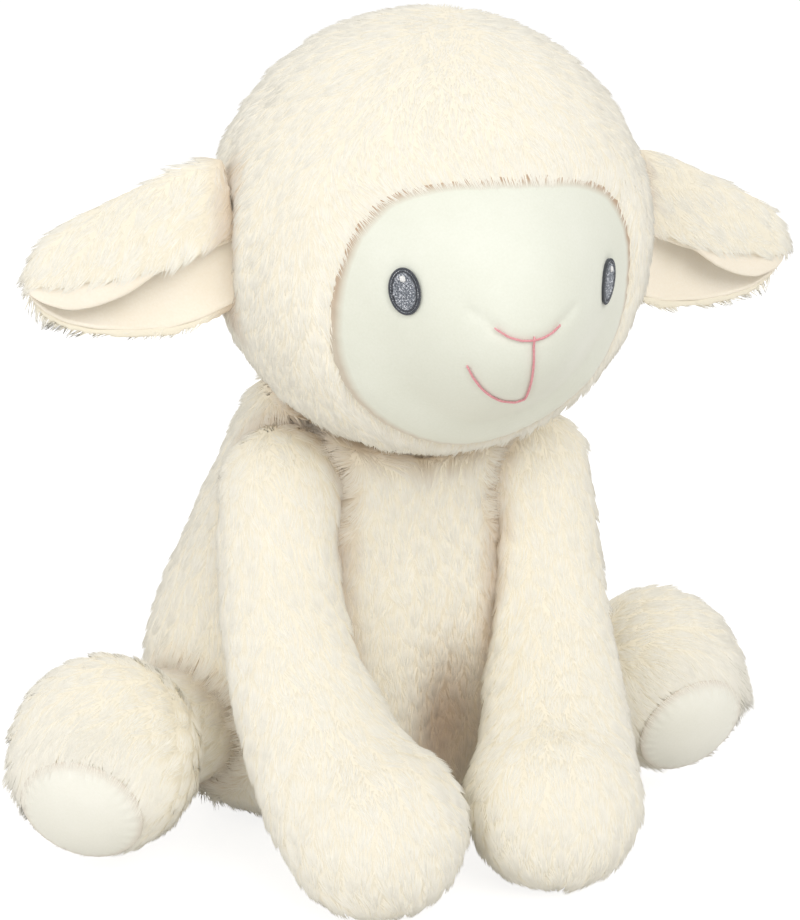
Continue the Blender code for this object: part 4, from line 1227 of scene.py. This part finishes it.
def finished(piece, material, body, cad_node, rounds=1):
    """Smooths a piece of cloth, colours it and hands it to its body."""
    if rounds:
        fine = piece.modifiers.new("fine", "SUBSURF")
        fine.levels = fine.render_levels = rounds
        settle(piece)
    piece.data.materials.clear()
    piece.data.materials.append(material)
    piece.data.shade_smooth()
    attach(piece, body)
    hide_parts(cad_node)
    print(piece.name, len(piece.data.polygons), "faces")


finished(closed(sheets["face_cloth"][0]), VELBOA, "head", "face_panel")
for side, sign in SIDES:
    finished(closed(sheets[side + "_sole_cloth"][0]), SOLE_CLOTH, side + "_leg",
             side + "_sole_pad")
    finished(ears[side], LINING, side + "_ear", side + "_ear_lining")
finished(remeshed(merged_copy("neck_fill", "neck_stuffing"), VOXEL, 0.0), FIBRE, "neck",
         "neck_stuffing", 0)

# %% [markdown]
# ## Thread
#
# Embroidery thread is twisted, so it shines in slanting bands. Each stitch carries how far
# along and how far round it a point is, and a shader group turns the two into bands of painted
# sheen, light and dark, in the colour and in a bump. The eye's middle is sewn in thread with
# metal film: there single cells of a Voronoi pattern, flecks of the film, are painted pale as
# painted glints.

# %% Thread materials
def twist_sheen_group():
    group, into = new_group("thread_twist", "Shader", (
        ("Light", "Color", (1, 1, 1, 1)), ("Dark", "Color", (0.5, 0.5, 0.5, 1)),
        ("Bands", "Float", 5.0)), (("Color", "Color"), ("Height", "Float")))
    along, around, shade = (attribute(group, name) for name in ("along", "around", "shade"))
    wave = maths("COSINE", (along * into["Bands"] + around) * (2.0 * math.pi))
    band = (wave + 1.0) * 0.5
    # Painted sheen: the bands shade the thread light and dark along its twist; the stitch's
    # random shade adds to it.
    tint = mixed(band * 0.6 + shade * 0.4, into["Dark"], into["Light"])
    add(group, "NodeGroupOutput", (("Color", tint), ("Height", band)))
    return group


def thread_material(name, light, dark, roughness=0.42, bands=5.0, sparkle=0.0, metal=0.0):
    material, tree, shader = new_material(name, roughness, 0.1, 0.5)
    # painted sheen from the twist's bands
    twist_sheen = shown = add(tree, "ShaderNodeGroup", (("Light", light), ("Dark", dark),
                                                  ("Bands", bands)), "Color", node_tree=TWIST_SHEEN)
    # Painted glints: single Voronoi cells, flecks of the metal film, are painted pale.
    if sparkle:
        where = add(tree, "ShaderNodeTexCoord", (), "Object")
        cells = add(tree, "ShaderNodeTexVoronoi", (("Vector", where), ("Scale", 3600.0)),
                    "Color")
        shown = mixed(stretched(cells, 0.62, 0.80, sparkle), twist_sheen, colour(240, 243, 250))
        shader.inputs["Metallic"].default_value = metal
    feed(shader, "Base Color", shown)
    bump(shader, twist_sheen.of("Height"), 0.6, 0.00008)
    return material


TWIST_SHEEN = twist_sheen_group()
# each thread's light and dark colours are its painted sheen
CHARCOAL = thread_material("charcoal_thread", colour(92, 96, 104), colour(46, 49, 55))
SILVER = thread_material("silver_thread", colour(158, 164, 173), colour(84, 89, 98), 0.34,
                         4.0, 0.9, 0.25)
WHITE = thread_material("white_thread", colour(252, 252, 250), colour(222, 224, 226))
PINK = thread_material("pink_thread", colour(250, 192, 198), colour(226, 138, 150))
print("threads:", ", ".join(thread.name for thread in (CHARCOAL, SILVER, WHITE, PINK)))

# %% [markdown]
# ## Sewing with Geometry Nodes
#
# A stitch is a thin bow of thread. Each point handed to the tree is the middle of a stitch and
# carries two directions: across, which is as long as the stitch and points along it, and out,
# which points off the cloth. So a satin eye with hundreds of stitches is a list of points.

# %% Sewing tree
STITCH_LEVELS = ((-0.47, 0.55, -0.9), (-0.34, 1.0, -0.2), (0.0, 1.0, 0.3), (0.34, 1.0, -0.2),
                 (0.47, 0.55, -0.9))
STITCH_SIDES = 6


def make_stitch():
    """One closed bow of thread, one unit long, with how far along and around it is."""
    sides, end = range(STITCH_SIDES), (-1.2, 0.0)
    turns = [2.0 * math.pi * i / STITCH_SIDES for i in sides]
    points = [(*end, -0.5)] + [(girth * math.cos(turn) + bow, girth * math.sin(turn), z)
                               for z, girth, bow in STITCH_LEVELS for turn in turns]
    points.append((*end, 0.5))
    around = [abs(1.0 - 2.0 * i / STITCH_SIDES) for i in sides] * len(STITCH_LEVELS)
    along = [0.0] + [z + 0.5 for z, girth, bow in STITCH_LEVELS for i in sides] + [1.0]
    last, top = len(points) - 1, len(points) - 1 - STITCH_SIDES
    after = [(i + 1) % STITCH_SIDES for i in sides]
    faces = [(0, 1 + after[i], 1 + i) for i in sides]
    faces += [(low + i, low + after[i], low + STITCH_SIDES + after[i], low + STITCH_SIDES + i)
              for low in range(1, top, STITCH_SIDES) for i in sides]
    faces += [(top + i, top + after[i], last) for i in sides]
    return template("stitch", points, faces, along=along, around=[0.0, *around, 0.0])


def sewing_tree():
    """Puts a stitch of thread on each point."""
    tree, into = new_tree("sewing", ("Stitch", "Object"), ("Thread", "Material"),
                          ("Thickness", "Float", 0.0002), ("Unevenness", "Float", 0.15),
                          ("Seed", "Int", 1))
    chance = scatter(tree, 0.0, 1.0, into["Seed"])
    thick = into["Thickness"] * ((chance - 0.5) * into["Unevenness"] + 1.0)
    points = add(tree, "GeometryNodeMeshToPoints", (("Mesh", into["Mesh"]),))
    stitches = repeated(points, into["Stitch"], named(tree, "across", "FLOAT_VECTOR"),
                        named(tree, "out", "FLOAT_VECTOR"), thick, thick)
    stitches = on(stored(stitches, "shade", chance, "INSTANCE"), "RealizeInstances")
    return dyed(on(stitches, "SetShadeSmooth"), into["Thread"])


def sewn(name, points, across, out, thread, thickness, seed=1, uneven=0.15):
    """A piece of stitches, one for each point."""
    piece = new_piece(name, points, [])
    store(piece.data, "across", across)
    store(piece.data, "out", out)
    return with_tree(piece, SEWING_TREE, {"Stitch": STITCH, "Thread": thread, "Seed": seed,
                                          "Thickness": thickness, "Unevenness": uneven})


STITCH, SEWING_TREE = make_stitch(), sewing_tree()
print("one stitch:", len(STITCH.data.polygons), "faces")

# %% [markdown]
# ## Eyes in satin stitch
#
# An eye is a charcoal border of stitches from edge to edge, a thin light ring in it, a
# sparkling middle in short rows, and a small white glint. All points are given in the flat
# oval of the eye and then laid on the curved face. A thin pad of the same colour lies under
# the stitches, so that no face cloth shows between them.

# %% Eyes
EYE_LIGHT_RING, EYE_BORDER = 0.80 * MM, 1.45 * MM
EYE_ROW, EYE_STITCH = 0.34 * MM, 1.5 * MM
GLINT_RISE, GLINT_HALF, GLINT_ROW = 3.6 * MM, 0.95 * MM, 0.30 * MM
BORDER_ROUNDS = ((104, 0.36 * MM, 0.72 * MM), (84, 1.18 * MM, 0.62 * MM))
RING_COUNT, RING_STITCH, GLINT_ROWS = 44, 0.80 * MM, 5
# how high the stitches lie off the cloth, and the undersides and tops of the pads
BORDER_LIFT, RING_LIFT, ROW_LIFT, GLINT_LIFT = 0.55 * MM, 0.62 * MM, 0.50 * MM, 0.95 * MM
BORDER_PAD, FILL_PAD = (-0.5 * MM, 0.42 * MM), (-0.5 * MM, 0.40 * MM)
GLINT_PAD = (0.45 * MM, 0.80 * MM)
BORDER_THREAD, ROW_THREAD, RING_THREAD = 0.20 * MM, 0.19 * MM, 0.11 * MM


def eye_spot(sign, flat, lift):
    """Points of an eye's flat oval laid on the face, and the way off the cloth there."""
    middle, short, tall = eye_axes(sign)
    ways = unit(middle + np.outer(flat[:, 0], short) + np.outer(flat[:, 1], tall) - HEAD_CENTRE)
    return on_face(ways, lift), ways


def oval(count, inset, start=0.0):
    """Points of an oval inside the eye's edge, and the way that runs along it."""
    turn = 2.0 * math.pi * (np.arange(count) + start) / count
    half = EYE_HALF - inset
    points = np.stack((half[0] * np.cos(turn), half[1] * np.sin(turn)), axis=1)
    return points, unit(np.stack((-half[0] * np.sin(turn), half[1] * np.cos(turn)), axis=1))


def laid(sign, flat, direction, length, lift):
    """Middle, across and out of stitches given by flat points and flat directions."""
    first, out = eye_spot(sign, flat - direction * length / 2.0, lift)
    second, out_too = eye_spot(sign, flat + direction * length / 2.0, lift)
    return (first + second) / 2.0, second - first, unit(out + out_too)


def pad(sign, outer, inner, low, high, thread, count=48, middle=(0.0, 0.0)):
    """A thin closed ring of cloth under the stitches."""
    turn = 2.0 * math.pi * np.arange(count) / count
    circle = np.stack((np.cos(turn), np.sin(turn)), axis=1)
    points = np.vstack([eye_spot(sign, circle * half + middle, lift)[0] for half, lift in (
        (outer, low), (outer, high), (inner, high), (inner, low))])
    faces = [(a * count + i, a * count + (i + 1) % count, b * count + (i + 1) % count,
              b * count + i) for a, b in ((0, 1), (1, 2), (2, 3), (3, 0))
             for i in range(count)]
    piece = new_piece("pad", points, faces)
    edited(piece.data, lambda edit: bmesh.ops.recalc_face_normals(edit, faces=edit.faces),
           piece.data)
    for name in ("along", "around", "shade"):
        store(piece.data, name, np.zeros(len(points)))
    piece.data.materials.append(thread)
    return piece


def thread_piece(name, slot, cad_node, *parts):
    """Joins the pads and stitches of one thread into one piece and hands it over."""
    piece, parts = parts[0], list(parts)
    with bpy.context.temp_override(active_object=piece, object=piece, selected_objects=parts,
                                   selected_editable_objects=parts):
        bpy.ops.object.join()
    piece.name = piece.data.name = name
    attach(piece, "head")
    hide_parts(cad_node)
    print(name, len(piece.data.polygons), "faces")


def eye_rows(inner):
    """Flat points of the rows that fill the eye's middle."""
    flats = []
    for i, across in enumerate(np.arange(-inner[0], inner[0] + 0.01 * MM, EYE_ROW)):
        reach = inner[1] * math.sqrt(max(0.0, 1.0 - (across / inner[0]) ** 2)) - 0.2 * MM
        places = np.arange(-inner[1] + (i % 3) * EYE_STITCH / 3.0, inner[1], EYE_STITCH * 0.92)
        flats += [(across, place) for place in places if abs(place) < reach]
    return np.array(flats)


def make_eye(side, sign):
    border = []
    for count, inset, length in BORDER_ROUNDS:
        flat, along = oval(count, inset, 0.5)
        slant = along * 0.35 + np.stack((along[:, 1], -along[:, 0]), axis=1)
        border.append(laid(sign, flat, unit(slant), length, BORDER_LIFT))
    flat, along = oval(RING_COUNT, EYE_LIGHT_RING)
    ring = laid(sign, flat, along, RING_STITCH, RING_LIFT)
    inner = EYE_HALF - EYE_BORDER
    flats = eye_rows(inner)
    lean = np.random.default_rng(5).uniform(-0.25, 0.25, len(flats))
    upright = unit(np.stack((lean, np.ones(len(flats))), axis=1))
    middle = laid(sign, flats, upright, EYE_STITCH, ROW_LIFT)
    rows = (np.arange(GLINT_ROWS) - GLINT_ROWS // 2) * GLINT_ROW
    reach = GLINT_HALF * np.sqrt(np.maximum(0.1, 1.0 - (rows / (1.05 * GLINT_HALF)) ** 2))
    glint = laid(sign, np.stack((rows, np.full(GLINT_ROWS, GLINT_RISE)), axis=1),
                 np.tile((0.12, 1.0), (GLINT_ROWS, 1)), 2.0 * reach[:, None], GLINT_LIFT)
    border = [np.vstack(part) for part in zip(*border)]
    eye = side + "_eye_"
    thread_piece(eye + "border_satin", "charcoal_thread", eye + "border",
                 pad(sign, EYE_HALF - 0.15 * MM, inner, *BORDER_PAD, CHARCOAL),
                 sewn("border", *border, CHARCOAL, BORDER_THREAD, 1))
    thread_piece(eye + "fill_satin", "silver_thread", eye + "fill",
                 pad(sign, inner + 0.1 * MM, inner * 0.02, *FILL_PAD, SILVER),
                 sewn("fill", *middle, SILVER, ROW_THREAD, 2),
                 sewn("ring", *ring, SILVER, RING_THREAD, 3))
    thread_piece(eye + "glint_satin", "white_thread", eye + "glint",
                 pad(sign, np.full(2, GLINT_HALF * 0.8), np.full(2, 0.02 * MM), *GLINT_PAD,
                     WHITE, 24, (0.0, GLINT_RISE)),
                 sewn("glint", *glint, WHITE, ROW_THREAD, 4))


for side, sign in SIDES:
    make_eye(side, sign)

# %% [markdown]
# ## Nose and mouth
#
# Both are narrow satin lines: short stitches side by side, each laid slantwise across the
# line, over a thicker thread that runs along it, in the dent that it pulls in the cloth.

# %% Nose and mouth
LINE_STITCH, LINE_STEP = 0.78 * MM, 0.42 * MM
SATIN_THREAD, UNDER_THREAD = 0.17 * MM, 0.26 * MM
LINE_SLANT, LINE_LIFT, SATIN_LIFT, UNDER_DROP = 0.55, 0.10 * MM, 0.12 * MM, 0.10 * MM
UNDER_STEPS = 4.2


def stitched_line(name, line_deg, seed):
    ways = line_points(line_deg, LINE_STEP)
    places = on_face(ways, LINE_LIFT)
    along = unit(np.gradient(places, axis=0))
    slant = unit(unit(np.cross(ways, along)) + along * LINE_SLANT)
    chance = np.random.default_rng(seed).uniform(0.85, 1.15, (len(ways), 1))
    satin = sewn(name, places + ways * SATIN_LIFT, slant * LINE_STITCH * chance, ways, PINK,
                 SATIN_THREAD, seed, 0.3)
    under = sewn("under", places[::3] - ways[::3] * UNDER_DROP,
                 along[::3] * LINE_STEP * UNDER_STEPS, ways[::3], PINK, UNDER_THREAD, seed, 0.1)
    thread_piece(name + "_stitches", "pink_thread", name + "_embroidery", satin, under)


stitched_line("nose", NOSE_LINE_DEG, 11)
stitched_line("mouth", MOUTH_LINE_DEG, 12)
